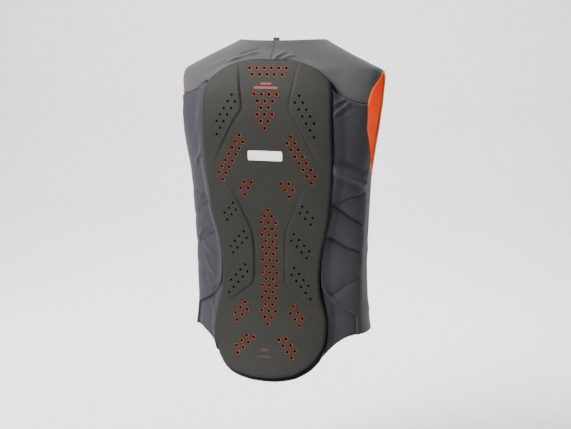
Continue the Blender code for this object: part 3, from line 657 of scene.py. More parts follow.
def closed_mesh(name, outer, inner, uv, crease=None):
    """A closed mesh between two grids of points, with the outer one facing out and its painted shade marked.
    """
    rows, columns = outer.shape[:2]
    count = rows * columns
    index = np.arange(count).reshape(rows, columns)
    skin = np.stack([index[:-1, :-1], index[:-1, 1:], index[1:, 1:], index[1:, :-1]], -1).reshape(-1, 4)
    border = np.concatenate([index[0], index[1:, -1], index[-1, -2::-1], index[-2:0:-1, 0]])
    ahead = np.roll(border, -1)
    sides = np.stack([ahead, border, border + count, ahead + count], -1)
    faces = np.concatenate([skin, skin[:, ::-1] + count, sides])
    mesh = bpy.data.meshes.new(name)
    points = np.concatenate([outer.reshape(-1, 3), inner.reshape(-1, 3)])
    mesh.from_pydata(points.tolist(), [], faces.tolist())
    add_uv(mesh, np.tile(uv.reshape(-1, 2), (2, 1)))
    # Painted shade: how far the materials darken each point, in creases, grooves and along seams
    mark = mesh.attributes.new("crease", "FLOAT", "POINT")
    crease = np.zeros((rows, columns)) if crease is None else crease
    mark.data.foreach_set("value", np.tile(crease.astype(np.float32).ravel(), 2))
    mesh.shade_smooth()
    mesh.set_sharp_from_angle(angle=np.radians(45))
    return mesh


def shown(name, mesh, material, replaces=()):
    """An object for a finished mesh, riding on the vest's one body."""
    piece = bpy.data.objects.new(name, mesh)
    bpy.context.scene.collection.objects.link(piece)
    if not mesh.materials:
        mesh.materials.append(material)
    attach(piece, "root")
    if replaces:
        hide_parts(*replaces)
    return piece


def cloth_uv(places):
    """Cloth coordinates in metres, along and up the body."""
    return np.stack([places[..., 0] * DEGREE, -places[..., 1]], -1)


def cloth_piece(node_name, places, relief, crease, thick, material):
    """A stretched cloth panel through rows of places, in the place of one solid."""
    name = node_name + "_cloth"
    outer, inner = lifted(places, relief), lifted(places, relief - thick)
    mesh = closed_mesh(name, outer, inner, cloth_uv(places), crease)
    piece = shown(name, mesh, material, (node_name,))


# Points on which a small shape is repeated, with the ways that it faces and runs, and its size
Spots = namedtuple("Spots", "points facing along size")


def spots_on(places, height, size=1.0):
    """Spots along a row of places, running along it."""
    points = lifted(places, height)
    along = np.gradient(points, axis=0)
    return Spots(points, facing(places[..., 0], places[..., 1]), along, np.full(len(points), size))


def joined_spots(groups):
    """All the spots of some groups as one."""
    return Spots(*(np.concatenate([getattr(g, field) for g in groups]) for field in Spots._fields))


def node(tree, kind, inputs=(), **settings):
    """A node with its settings, and its inputs set or linked."""
    made = tree.nodes.new(kind)
    for key, value in settings.items():
        setattr(made, key, value)
    for key, value in dict(inputs).items():
        if isinstance(value, bpy.types.NodeSocket):
            tree.links.new(value, made.inputs[key])
        else:
            made.inputs[key].default_value = value
    return made


def tree_input(tree, name, kind, default=None):
    """Adds a named input to a tree."""
    socket = tree.interface.new_socket(name, in_out="INPUT", socket_type=kind)
    if default is not None:
        socket.default_value = default


def bead_shape(tree):
    """A small rounded stitch."""
    return node(tree, "GeometryNodeMeshIcoSphere", {"Radius": 0.5, "Subdivisions": 2}).outputs["Mesh"]


def block_shape(tree):
    """A small block, such as a zip's tooth."""
    return node(tree, "GeometryNodeMeshCube").outputs["Mesh"]


def plug_shape(tree):
    """A round plug, wider at its mouth, that cuts a perforation."""
    sizes = {"Vertices": 20, "Radius Top": 1.06, "Radius Bottom": 0.97, "Depth": 1.0}
    plug = node(tree, "GeometryNodeMeshCone", sizes).outputs["Mesh"]
    moved = node(tree, "GeometryNodeTransform", {"Geometry": plug, "Translation": (0, 0, -0.5)})
    return moved.outputs["Geometry"]


def ring_shape(tree):
    """A flat-topped ring of unit radius whose wall is a share of it."""
    path = node(tree, "GeometryNodeCurvePrimitiveCircle", {"Resolution": 28, "Radius": 0.89})
    wall = node(tree, "GeometryNodeCurvePrimitiveQuadrilateral", {"Width": 0.22, "Height": 1.0})
    curves = {"Curve": path.outputs["Curve"], "Profile Curve": wall.outputs["Curve"]}
    return node(tree, "GeometryNodeCurveToMesh", curves).outputs["Mesh"]


def attribute_read(tree, name, data_type):
    """The socket of a named attribute of the spots."""
    kind = "GeometryNodeInputNamedAttribute"
    return node(tree, kind, {"Name": name}, data_type=data_type).outputs["Attribute"]


def repeat_tree(name, shape, values):
    """A Geometry Nodes tree that puts one shape at each spot, with its sizes and material as inputs."""
    tree = bpy.data.node_groups.new(name + "_tree", "GeometryNodeTree")
    tree.interface.new_socket("Geometry", in_out="OUTPUT", socket_type="NodeSocketGeometry")
    tree_input(tree, "Geometry", "NodeSocketGeometry")
    for key, value in values.items():
        tree_input(tree, key, "NodeSocketFloat", value)
    tree_input(tree, "Material", "NodeSocketMaterial")
    source = tree.nodes.new("NodeGroupInput").outputs
    scale = node(tree, "ShaderNodeCombineXYZ", {axis: source[key] for axis, key in zip("XYZ", values)})
    axes = {
        "Primary Axis": attribute_read(tree, "facing", "FLOAT_VECTOR"),
        "Secondary Axis": attribute_read(tree, "along", "FLOAT_VECTOR"),
    }
    turn = node(tree, "FunctionNodeAxesToRotation", axes, primary_axis="Z", secondary_axis="X")
    factors = {0: scale.outputs["Vector"], "Scale": attribute_read(tree, "size", "FLOAT")}
    sized = node(tree, "ShaderNodeVectorMath", factors, operation="SCALE")
    copying = {
        "Points": source["Geometry"],
        "Instance": shape(tree),
        "Rotation": turn.outputs["Rotation"],
        "Scale": sized.outputs["Vector"],
    }
    copies = node(tree, "GeometryNodeInstanceOnPoints", copying).outputs["Instances"]
    real = node(tree, "GeometryNodeRealizeInstances", {"Geometry": copies}).outputs["Geometry"]
    finish = node(tree, "GeometryNodeSetMaterial", {"Geometry": real, "Material": source["Material"]})
    node(tree, "NodeGroupOutput", {"Geometry": finish.outputs["Geometry"]})
    return tree


def repeated(name, spots, shape, length, width, height, material):
    """A plain mesh of one shape at each spot."""
    mesh = bpy.data.meshes.new(name + "_spots")
    mesh.from_pydata(spots.points.tolist(), [], [])
    for key in ("facing", "along"):
        attribute = mesh.attributes.new(key, "FLOAT_VECTOR", "POINT")
        attribute.data.foreach_set("vector", np.asarray(getattr(spots, key), np.float32).ravel())
    attribute = mesh.attributes.new("size", "FLOAT", "POINT")
    attribute.data.foreach_set("value", np.asarray(spots.size, np.float32))

    holder = bpy.data.objects.new(name + "_spots", mesh)
    bpy.context.scene.collection.objects.link(holder)
    modifier = holder.modifiers.new("repeat", "NODES")
    values = {"Length": length, "Width": width, "Height": height}
    tree = modifier.node_group = repeat_tree(name, shape, values)
    values["Material"] = material
    for item in tree.interface.items_tree:
        if item.in_out == "INPUT" and item.name in values:
            modifier[item.identifier] = values[item.name]
    made = plain_copy(holder)
    bpy.data.objects.remove(holder)
    return made


def plain_copy(obj):
    """The mesh that an object's modifiers make."""
    graph = bpy.context.evaluated_depsgraph_get()
    return bpy.data.meshes.new_from_object(obj.evaluated_get(graph))


def cut_by(mesh, cutter_mesh):
    """A mesh with another cut out of it."""
    body = bpy.data.objects.new("being_cut", mesh)
    cutter = bpy.data.objects.new("cutter", cutter_mesh)
    for obj in (body, cutter):
        bpy.context.scene.collection.objects.link(obj)
    cut = body.modifiers.new("cut", "BOOLEAN")
    cut.operation = "DIFFERENCE"
    cut.solver = "MANIFOLD"
    cut.object = cutter
    made = plain_copy(body)
    for obj in (body, cutter):
        bpy.data.objects.remove(obj)
    made.shade_smooth()
    made.set_sharp_from_angle(angle=np.radians(38))
    return made


def maths(tree, operation, a, b=0.0):
    """The result of one operation on values or sockets."""
    return node(tree, "ShaderNodeMath", {0: a, 1: b}, operation=operation).outputs[0]


def weighted(tree, *terms):
    """The sum of sockets, each times its weight."""
    parts = [maths(tree, "MULTIPLY", value, weight) for value, weight in terms]
    total = parts[0]
    for part in parts[1:]:
        total = maths(tree, "ADD", total, part)
    return total


def noise(tree, where, scale, detail, roughness=0.5):
    """A noise's factor."""
    inputs = {"Vector": where, "Scale": scale, "Detail": detail, "Roughness": roughness}
    return node(tree, "ShaderNodeTexNoise", inputs).outputs[0]


def shade(colour, share):
    """A colour made lighter or darker."""
    return (colour[0] * share, colour[1] * share, colour[2] * share, 1.0)


def mixed(tree, low, high, factor):
    """A colour between two, by a factor."""
    return node(tree, "ShaderNodeMix", {0: factor, 6: low, 7: high}, data_type="RGBA").outputs[2]


def painted_crease_shade(tree, colour, low):
    """A colour that turns to a darker one where painted shade is marked on the mesh: shade painted into its
    creases, grooves and seams.
    """
    mark = node(tree, "ShaderNodeAttribute", attribute_name="crease")
    return mixed(tree, colour, low, mark.outputs["Fac"])


def new_material(name, roughness):
    """A material, its tree and its shader."""
    mat = bpy.data.materials.new(name)
    mat.use_nodes = True
    shader = mat.node_tree.nodes["Principled BSDF"]
    shader.inputs["Roughness"].default_value = roughness
    return mat, mat.node_tree, shader


def finish_surface(tree, shader, colour, strength, depth, height, **values):
    """Links a shader's colour and its fine relief, and sets its other inputs."""
    relief = node(tree, "ShaderNodeBump", {"Strength": strength, "Distance": depth, "Height": height})
    tree.links.new(colour, shader.inputs["Base Color"])
    tree.links.new(relief.outputs["Normal"], shader.inputs["Normal"])
    for key, value in values.items():
        shader.inputs[key.replace("_", " ")].default_value = value


def knit_cloth(name, colour, pitch, roughness, sheen, bump=0.00012):
    """Fine knitted cloth whose loops follow the piece's own cloth coordinates."""
    mat, tree, shader = new_material(name, roughness)
    coordinates = node(tree, "ShaderNodeTexCoord").outputs
    parts = node(tree, "ShaderNodeSeparateXYZ", {"Vector": coordinates["UV"]}).outputs
    turn = 2 * np.pi / pitch
    row_turn = turn * 1.25
    ribs = maths(tree, "SINE", maths(tree, "MULTIPLY", parts["X"], turn))
    rows = maths(tree, "SINE", weighted(tree, (parts["Y"], row_turn), (ribs, 0.6)))
    level = maths(tree, "MULTIPLY_ADD", weighted(tree, (ribs, 0.5), (rows, 0.5)), 0.5)
    level.node.inputs[2].default_value = 0.5
    cloudy = noise(tree, coordinates["Object"], 22.0, 4.0, 0.6)
    fuzz = noise(tree, coordinates["Object"], 900.0, 2.0)
    tone = weighted(tree, (level, 0.35), (cloudy, 0.55), (fuzz, 0.1))
    tones = mixed(tree, shade(colour, 0.78), shade(colour, 1.2), tone)
    # Painted shade: darkens to a quarter of the colour where the mesh marks it
    base = painted_crease_shade(tree, tones, shade(colour, 0.25))
    height = maths(tree, "ADD", level, maths(tree, "MULTIPLY", fuzz, 0.6))
    sheens = {"Sheen_Weight": sheen, "Sheen_Roughness": 0.45, "Specular_IOR_Level": 0.14}
    finish_surface(tree, shader, base, 0.6, bump, height, **sheens)
    return mat


def foam_skin(name, colour, roughness, grain, bump):
    """Closed foam skin with a fine grain."""
    mat, tree, shader = new_material(name, roughness)
    where = node(tree, "ShaderNodeTexCoord").outputs["Object"]
    cloudy = noise(tree, where, 14.0, 5.0, 0.55)
    pores = node(tree, "ShaderNodeTexVoronoi", {"Vector": where, "Scale": grain}, feature="F1")
    specks = noise(tree, where, grain * 1.7, 2.0)
    tone = weighted(tree, (cloudy, 0.6), (specks, 0.4))
    tones = mixed(tree, shade(colour, 0.8), shade(colour, 1.18), tone)
    # Painted shade: darkens to about a third of the colour where the mesh marks it
    base = painted_crease_shade(tree, tones, shade(colour, 0.35))
    height = maths(tree, "ADD", pores.outputs["Distance"], maths(tree, "MULTIPLY", specks, 0.7))
    finish_surface(tree, shader, base, 0.5, bump, height, Specular_IOR_Level=0.13)
    return mat


def plain_finish(name, colour, roughness, grain=600.0, bump=0.00008, metallic=0.0):
    """A moulded, printed or woven finish with a little grain."""
    mat, tree, shader = new_material(name, roughness)
    specks = noise(tree, node(tree, "ShaderNodeTexCoord").outputs["Object"], grain, 3.0)
    tones = mixed(tree, shade(colour, 0.85), shade(colour, 1.1), specks)
    finish_surface(tree, shader, tones, 0.4, bump, specks, Metallic=metallic)
    return mat


def colour_property(name, description, default):
    """A named colour of the settings."""
    kind = {"subtype": "COLOR", "size": 3, "min": 0, "max": 1}
    return FloatVectorProperty(name=name, description=description, default=default, **kind)


def number_property(name, description, default):
    """A named plain number of the settings."""
    return FloatProperty(name=name, description=description, default=default)


def length_property(name, description, default):
    """A named length of the settings."""
    kind = {"subtype": "DISTANCE", "unit": "LENGTH"}
    return FloatProperty(name=name, description=description, default=default, **kind)


class ProtectorSettings(bpy.types.PropertyGroup):
    """Sizes and colours of the back protector."""

    foam: length_property("Foam", "Thickness of the dark outer foam", 0.0085)
    pad_height: length_property("Pad height", "How far the side pads stand above the middle band", 0.0017)
    crease_width: length_property("Crease width", "Width of the step up to a pad", 0.0042)
    crease_depth: length_property("Crease depth", "Depth of the groove at the foot of a pad", 0.0008)
    edge_round: length_property("Edge round", "Radius of the protector's outer edge", 0.0052)
    ringed_radius: length_property("Ringed hole", "Radius of a hole that shows the insert", 0.0041)
    plain_radius: length_property("Plain hole", "Radius of a hole with no ring", 0.0025)
    ring_sink: length_property("Ring sink", "How far a ring lies below the face", 0.0006)
    ring_height: length_property("Ring height", "Height of a ring", 0.0014)
    foam_colour: colour_property("Foam colour", "Colour of the outer foam", (0.0240, 0.0238, 0.0205))
    insert_colour: colour_property("Insert colour", "Colour of the inner foam", (0.40, 0.050, 0.009))


class ClothSettings(bpy.types.PropertyGroup):
    """Thicknesses, knit and colours of the cloth pieces."""

    thick: length_property("Cloth", "Thickness of the outer cloth", 0.0012)
    lining_thick: length_property("Lining", "Thickness of the lining", 0.0010)
    swell: length_property("Swell", "How far the cloth swells between its seams", 0.0016)
    knit: length_property("Knit", "Width of one rib of the knit", 0.0009)
    side_swell: length_property("Side swell", "How far the sides swell between their sewn lines", 0.0050)
    beside: length_property("Beside", "How far the sides rise where they meet the protector", 0.0050)
    tuck: length_property("Tuck", "How far the yoke rises where it meets the protector", 0.0075)
    hem: length_property("Hem", "Width of the doubled band at an edge", 0.0095)
    yoke_colour: colour_property("Yoke colour", "Colour of the shoulder yoke", (0.070, 0.070, 0.074))
    side_colour: colour_property("Side colour", "Colour of the stretch sides", (0.035, 0.0335, 0.041))
    front_colour: colour_property("Front colour", "Colour of the front panels", (0.072, 0.072, 0.072))
    lining_colour: colour_property("Lining colour", "Colour of the lining", (0.80, 0.090, 0.006))
    binding_colour: colour_property("Binding colour", "Colour of the armhole binding", (0.86, 0.19, 0.04))


class StitchSettings(bpy.types.PropertyGroup):
    """Sizes and colour of the stitching."""

    length: length_property("Length", "Length of one stitch", 0.0024)
    pitch: length_property("Pitch", "Distance from one stitch to the next", 0.0033)
    thick: length_property("Thread", "Thickness of the thread", 0.00055)
    colour: colour_property("Thread colour", "Colour of the thread", (0.035, 0.035, 0.040))


class ClosureSettings(bpy.types.PropertyGroup):
    """Sizes of the front closure."""

    tooth_pitch: length_property("Tooth pitch", "Distance from one tooth to the next", 0.0026)
    tooth_length: length_property("Tooth length", "Length of one tooth across the closure", 0.0040)
    tooth_width: length_property("Tooth width", "Width of one tooth", 0.0013)
    tooth_height: length_property("Tooth height", "Height of one tooth", 0.0012)


class StageSettings(bpy.types.PropertyGroup):
    """The floor, lights and camera."""

    floor_drop: length_property("Floor", "How far the floor lies below the origin", 0.90)
    distance: length_property("Camera distance", "From the aimed point to the camera", 2.375)
    azimuth: number_property("Azimuth", "Camera's turn round the vest, in degrees", 22.0)
    elevation: number_property("Elevation", "Camera's height above level, in degrees", 9.75)
    lens: number_property("Lens", "Focal length in millimetres", 73.04)
    key_power: number_property("Key light", "Power of the main light in watts", 128.0)
    fill_power: number_property("Fill light", "Power of the fill light in watts", 20.0)
    top_power: number_property("Top light", "Power of the light above in watts", 22.0)
    backdrop_power: number_property("Backdrop light", "Power of the light on the paper", 220.0)
    inside_power: number_property("Inside light", "Power of the light in the armhole", 0.085)
    world_strength: number_property("Surroundings", "Strength of the white surroundings", 0.16)
    paper_colour: colour_property("Paper", "Colour of the floor and backdrop", (0.93, 0.93, 0.93))


class VestSettings(bpy.types.PropertyGroup):
    """All the settings of the vest."""

    protector: PointerProperty(type=ProtectorSettings)
    cloth: PointerProperty(type=ClothSettings)
    stitch: PointerProperty(type=StitchSettings)
    closure: PointerProperty(type=ClosureSettings)
    stage: PointerProperty(type=StageSettings)
    detail: IntProperty(name="Detail", description="Grid lines for each part of an edge", default=40, min=8)


# Grid lines at a rounded edge, in its radii from the edge
EDGE_LINES = (1.5, 1.0, 0.75, 0.55, 0.38, 0.25, 0.14, 0.06, 0.0)


def shares_to_edge(count, close, half):
    """Shares from 0 to 1, with a few close lines at the rounded edge."""
    edge = 1 - close * np.array(EDGE_LINES) / half
    return np.concatenate([np.linspace(0, edge[0], count, endpoint=False), edge])


def foam_grid(settings):
    """Shares across and ways down the protector, with its distances from the edge."""
    sizes = settings.protector
    half = shares_to_edge(int(settings.detail * 1.5), sizes.edge_round, PANEL_HALF * 0.9)
    across = np.concatenate([-half[:0:-1], half])
    down = shares_to_edge(int(settings.detail * 3.4), sizes.edge_round, PANEL_LENGTH / 2)
    way = (1 + np.concatenate([-down[:0:-1], down])[::-1]) / 2
    return np.meshgrid(across, way)


def rim_distance(across, way):
    """How far a place lies inside the protector's outline."""
    half = edge_at("half", way) * PANEL_HALF
    length = panel_drop(across, 1.0) - panel_drop(across, 0.0)
    return np.minimum.reduce([(1 - np.abs(across)) * half, way * length, (1 - way) * length])


def hole_spots(settings, ringed, rise):
    """Spots on the protector's face, one at each perforation of a kind."""
    x, drop = [], []
    for row in HOLE_ROWS:
        if row.ringed == ringed:
            steps = np.arange(row.count)
            for side in (1, -1):
                x.extend(side * (row.across + steps * row.step_across))
                drop.extend(row.drop + steps * row.step_drop)
    if ringed:
        x.extend([0.0] * len(MIDDLE_HOLES))
        drop.extend(MIDDLE_HOLES)
        for k in range(SPINE_ROWS):
            last = k in (0, SPINE_ROWS - 1)
            shares = (0.0,) if last else (-0.5, 0.5) if k % 2 else (-1.0, 0.0, 1.0)
            x.extend(share * SPINE_PITCH for share in shares)
            drop.extend([SPINE_TOP + k * SPINE_STEP] * len(shares))
    spots, height = under_face(x, drop, settings.protector)
    normal = facing(spots[:, 0], spots[:, 1])
    across = np.tile([1.0, 0.0, 0.0], (len(x), 1))
    return Spots(lifted(spots, height + rise), normal, across, np.ones(len(x)))


# How far a printed mark lies above the face, and its thickness
MARK_RISE = 0.00012
MARK_THICK = 0.0004


def face_strip(name, x, drop, half_height, settings, rise, thick):
    """A closed plate on the protector's face: a row of widths about a middle line."""
    rows = np.linspace(-1, 1, 9)[:, None]
    grid_drop = drop - rows * half_height[None]
    grid_x = np.broadcast_to(x[None], grid_drop.shape)
    outer = face_point(grid_x, grid_drop, settings.protector, rise + thick)
    inner = face_point(grid_x, grid_drop, settings.protector, rise)
    return closed_mesh(name, outer, inner, np.stack([grid_x, -grid_drop], -1))


def rounded_bar(name, centre_drop, length, height, radius, settings):
    """A plain bar with rounded corners on the middle of the protector's face."""
    turn = np.linspace(0, np.pi / 2, 8)
    end = length / 2 - radius
    corner = height / 2 - radius
    middle = np.linspace(-end, end, 24)[1:-1]
    reach = np.concatenate([-end - radius * np.cos(turn), middle, end + radius * np.cos(turn[::-1])])
    half = corner + radius * np.concatenate([np.sin(turn), np.ones(len(middle)), np.sin(turn[::-1])])
    half = np.maximum(half, 0.0001)
    return face_strip(name, reach, centre_drop, half, settings, MARK_RISE, MARK_THICK)


# How dark the painted shade in the foam's grooves and the painted shadow line along its outline are, and the
# outline's width
GROOVE_SHADE = 0.55
OUTLINE_SHADE = 0.8
OUTLINE_SHADE_WIDTH = 0.0007
# The foam's outer edge reaches down beside the insert over a share of its radius
SKIRT_SHARE = 0.6
# Where a plug starts above the foam's face, and its length as a share of the foam's thickness
PLUG_RISE = 0.0005
PLUG_REACH = 1.5


class VEST_OT_protector(bpy.types.Operator):
    """Builds the dark outer foam with its pads and perforations"""

    bl_idname = "vest.protector"
    bl_label = "Outer foam"

    def execute(self, context):
        settings = context.scene.vest
        sizes = settings.protector
        across, way = foam_grid(settings)
        x = across * edge_at("half", way) * PANEL_HALF
        inside = rim_distance(across, way)
        round_share = np.clip(1 - inside / sizes.edge_round, 0, 1)
        fall = sizes.edge_round * (1 - np.sqrt(1 - round_share**2))
        height = face_height(x, way, sizes) - fall
        skirt = SKIRT_SHARE * sizes.edge_round
        under = np.where(inside < skirt, FACE_GAP, LAYER_GAP + INSERT + FACE_GAP)
        places = panel_place(across, way)
        spots = np.stack([x, -places[..., 1]], -1)
        # Painted shade in the grooves at the pads' feet and a painted shadow line round the protector's
        # outline
        outline = OUTLINE_SHADE * bell(inside, OUTLINE_SHADE_WIDTH)
        crease = GROOVE_SHADE * crease_share(x, way, sizes) + outline
        mesh = closed_mesh("foam", lifted(places, height), lifted(places, under), spots, crease)
        material = foam_skin("foam_skin", sizes.foam_colour, 0.58, 1300.0, 0.00012)
        mesh.materials.append(material)
        for ringed, radius in ((True, sizes.ringed_radius), (False, sizes.plain_radius)):
            spots = hole_spots(settings, ringed, PLUG_RISE)
            depth = sizes.foam * PLUG_REACH
            mesh = cut_by(mesh, repeated("plugs", spots, plug_shape, radius, radius, depth, material))
        piece = shown("back_panel_outer_skin", mesh, material, ("back_panel_outer",))
        return {"FINISHED"}


# The radii of a ring's dark centre and of its outer edge, as shares of its hole's radius
CENTRE_SHARE = 0.74
RING_SHARE = 0.955
# How much wider a plain hole is in the insert than in the foam
PLAIN_GROWTH = 1.05
# Where the insert's plugs start above it, and their depth
INSERT_PLUG_RISE = 0.002
INSERT_PLUG_DEPTH = 0.016


class VEST_OT_insert(bpy.types.Operator):
    """Builds the orange foam under the outer foam, with a ring in each ringed perforation"""

    bl_idname = "vest.insert"
    bl_label = "Inner foam"

    def execute(self, context):
        settings = context.scene.vest
        sizes = settings.protector
        inset = sizes.edge_round
        across = np.linspace(-1, 1, 2 * settings.detail)
        way = np.linspace(1, 0, 3 * settings.detail)
        across, way = np.meshgrid(across, way)
        places = panel_place(across, way, -inset)
        x = across * (edge_at("half", way) * PANEL_HALF - inset)
        top = lifted(places, LAYER_GAP + INSERT)
        mesh = closed_mesh("insert", top, lifted(places, LAYER_GAP), np.stack([x, -places[..., 1]], -1))
        material = foam_skin("insert_foam", sizes.insert_colour, 0.5, 1500.0, 0.0001)
        mesh.materials.append(material)
        centre, plain = sizes.ringed_radius * CENTRE_SHARE, sizes.plain_radius * PLAIN_GROWTH
        depth = INSERT_PLUG_DEPTH
        for ringed, radius in ((True, centre), (False, plain)):
            spots = hole_spots(settings, ringed, -sizes.foam + INSERT_PLUG_RISE)
            mesh = cut_by(mesh, repeated("plugs", spots, plug_shape, radius, radius, depth, material))
        piece = shown("back_panel_inner_foam", mesh, material, ("back_panel_inner",))
        wall = sizes.ring_height
        spots = hole_spots(settings, True, -sizes.ring_sink - wall / 2)
        radius = sizes.ringed_radius * RING_SHARE
        rings = repeated("rings", spots, ring_shape, radius, radius, wall, material)
        rings.shade_smooth()
        rings.set_sharp_from_angle(angle=np.radians(40))
        shown("back_panel_inner_rings", rings, material, ())
        return {"FINISHED"}


# The rim round the tail: its width, how far it rises, and how much more in its middle part, which reaches
# to a share of its half width and ends over another
RIM_WIDTH = 0.0045
RIM_RISE = 0.0022
RIM_MIDDLE_RISE = 0.0032
RIM_MIDDLE = (0.72, 0.2)


class VEST_OT_base(bpy.types.Operator):
    """Builds the cloth that carries the protector, with its rim round the tail"""

    bl_idname = "vest.base"
    bl_label = "Carrying cloth"

    def execute(self, context):
        settings = context.scene.vest
        cloth = settings.cloth
        n = settings.detail
        across, way = np.meshgrid(np.linspace(-1, 1, 2 * n), np.linspace(1, 0, 4 * n))
        share = np.clip((way - RIM_START) / (1 - RIM_START), 0, 1)
        places = panel_place(across, way, -UNDERLAP + (UNDERLAP + RIM) * share)
        rim = bell(rim_distance(across, way), RIM_WIDTH) * share
        middle = 1 - eased((np.abs(across) - RIM_MIDDLE[0]) / RIM_MIDDLE[1])
        relief = rim * (RIM_RISE + RIM_MIDDLE_RISE * middle)
        material = knit_cloth("rim_cloth", cloth.side_colour, cloth.knit, 0.70, 0.08)
        cloth_piece("back_base", places, relief, None, cloth.thick, material)
        return {"FINISHED"}


class VEST_OT_marks(bpy.types.Operator):
    """Builds the plain bars on the protector's face"""

    bl_idname = "vest.marks"
    bl_label = "Plain marks"

    def execute(self, context):
        settings = context.scene.vest
        white = plain_finish("white_print", (0.95, 0.95, 0.94), 0.5)
        orange = plain_finish("orange_print", (0.24, 0.026, 0.005), 0.6)
        dull = plain_finish("dull_print", (0.036, 0.006, 0.003), 0.65)
        bars = (
            ("mark_middle", 0.2215, 0.072, 0.0190, 0.0035, white),
            ("mark_upper", 0.0835, 0.022, 0.0036, 0.0010, orange),
            ("mark_lower", 0.0912, 0.050, 0.0042, 0.0012, orange),
            ("mark_tail_upper", 0.6070, 0.017, 0.0060, 0.0012, dull),
            ("mark_tail_lower", 0.6200, 0.029, 0.0040, 0.0012, dull),
        )
        for name, drop, length, height, radius, material in bars:
            shown(name, rounded_bar(name, drop, length, height, radius, settings), material)
        return {"FINISHED"}


def yoke_grid(n, fall):
    """Places of the right yoke, from the middle of the back over the shoulder to its front seam."""
    bottom = chained(
        run(lambda t: base_place(t, 0.0), 0, 1, n),
        run(lambda t: yoke_seam(t, fall), 0, 1, n // 2),
        run(armhole, yoke_end(fall), -1, n),
        run(armhole, 1, YOKE_FRONT_WAY, n),
    )
    top = chained(run(neckline, -1, 0, 2 * n + n // 2), run(neckline, 0, YOKE_NECK_WAY, n))
    left = between(bottom[0], top[0], np.linspace(0, 1, n + 1))
    right = between(bottom[-1], top[-1], np.linspace(0, 1, n + 1))
    return coons(bottom, top, left, right)


def side_grid(n, fall):
    """Places of the right stretch side, from the protector's edge to the side seam and the armhole."""
    rows = 4 * n
    under = round(rows * 0.56)
    outer = chained(run(side_seam, 0, 1, under), run(armhole, SEAM_WAY, yoke_end(fall), rows - under))
    inner = run(lambda t: base_place(1.0, 1 - t), 0, 1, rows)
    return coons(run(back_hem, 0, 1, 2 * n), run(lambda t: yoke_seam(t, fall), 0, 1, 2 * n), inner, outer)


def front_grid(n):
    """Places of the right front panel, from the hem up to the armhole, the yoke seam and the neckline."""
    top = chained(
        run(armhole, SEAM_WAY, YOKE_FRONT_WAY, 2 * n),
        between(armhole(YOKE_FRONT_WAY), neckline(YOKE_NECK_WAY), np.linspace(0, 1, n + 1)),
        run(neckline, YOKE_NECK_WAY, FRONT_NECK_WAY, n),
    )
    drops = SIDE_LENGTH + (top[-1, 1] - SIDE_LENGTH) * np.linspace(0, 1, 2 * n + 1)
    middle = place(angle_across(ZIP_HALF, drops, front=True), drops)
    bottom = between(side_seam(0.0), middle[0], np.linspace(0, 1, len(top)))
    return coons(bottom, top, run(side_seam, 0, 1, 2 * n), middle)


def both_sides(right, left):
    """A name and the places for each side of the body, from two grids of the right side."""
    return (("right", right), ("left", left_hem(mirrored(left))))


def inner_side(name):
    """The grid's side away from the arm. The other one has the name of the body's side."""
    return "left" if name == "right" else "right"


def seam_shade(places, side, width):
    """Painted shade along one side of a grid: 1 along it, falling to 0 beside it."""
    return bell(border_distance(places, side), width)


# The yoke's columns of a grid of usual detail, how many of them lie over the protector, and the slope beside
YOKE_COLUMNS = 140
PANEL_COLUMNS = 34
PANEL_RAMP = 16
# Over what width the yoke is held down behind the protector, where it starts to rise beside it and over what
# width, and how far from it the yoke lies flat again
YOKE_HOLD = 0.003
TUCK_START = 0.0006
TUCK_RAMP = 0.0016
TUCK_REACH = 0.030
# Painted shade in dark lines at the seams: how dark and how wide, and where the painted shadow at the yoke's
# tuck under the protector ends and over what width
YOKE_MIDDLE_SHADE = (0.7, 0.0006)
YOKE_SEAM_SHADE_WIDTH = 0.0012
SIDE_SEAM_SHADE = (0.8, 0.0011)
TUCK_SHADE = (0.0016, 0.0030)
# How high a doubled band stands at a hem
YOKE_BAND = 0.0005
HEM_BAND = 0.0006


class VEST_OT_yokes(bpy.types.Operator):
    """Builds the lighter shoulder yoke with its folds"""

    bl_idname = "vest.yokes"
    bl_label = "Shoulder yoke"

    def execute(self, context):
        settings = context.scene.vest
        cloth = settings.cloth
        material = knit_cloth("yoke_cloth", cloth.yoke_colour, cloth.knit, 0.80, 0.10)
        n = settings.detail
        pair = both_sides(yoke_grid(n, YOKE_SEAM_TILT), yoke_grid(n, -YOKE_SEAM_TILT))
        for name, places in pair:
            middle = inner_side(name)
            fade = 0.7 + 0.3 * edge_fade(places, 0.003, (middle,))
            relief = (fold_relief(places, YOKE_FOLDS) + 0.5 * cloth.swell) * fade
            relief += hem_band(places, cloth.hem, YOKE_BAND, "top")
            near = border_distance(places, "bottom") - UNDERLAP
            columns = np.linspace(0, 1, places.shape[1])
            columns = columns if name == "right" else columns[::-1]
            panel = 1 - eased((columns * YOKE_COLUMNS - PANEL_COLUMNS) / PANEL_RAMP)
            relief *= 1 - panel * (1 - eased(near / YOKE_HOLD))
            rise = cloth.tuck * panel * eased((near - TUCK_START) / TUCK_RAMP)
            relief += rise * (1 - eased(near / TUCK_REACH))
            # Painted shade along the middle seam and along the yoke seam beside the sides, and a painted
            # shadow where the yoke tucks under the protector
            lines = YOKE_MIDDLE_SHADE[0] * seam_shade(places, middle, YOKE_MIDDLE_SHADE[1])
            lines = np.maximum(lines, seam_shade(places, "bottom", YOKE_SEAM_SHADE_WIDTH) * (1 - panel))
            lines = np.maximum(lines, panel * (1 - eased((near - TUCK_SHADE[0]) / TUCK_SHADE[1])))
            cloth_piece("yoke_" + name, places, relief, lines, cloth.thick, material)
        return {"FINISHED"}


# How strongly the sewn lines hold down the left side, whose chevrons are softer
LEFT_SEAM_SHARE = 0.45
# How much of the swell falls near a sewn line and over its broad surroundings, and the width of those
NEAR_SHARE = 0.45
BROAD_SHARE = 0.55
BROAD_WIDTH = 0.011
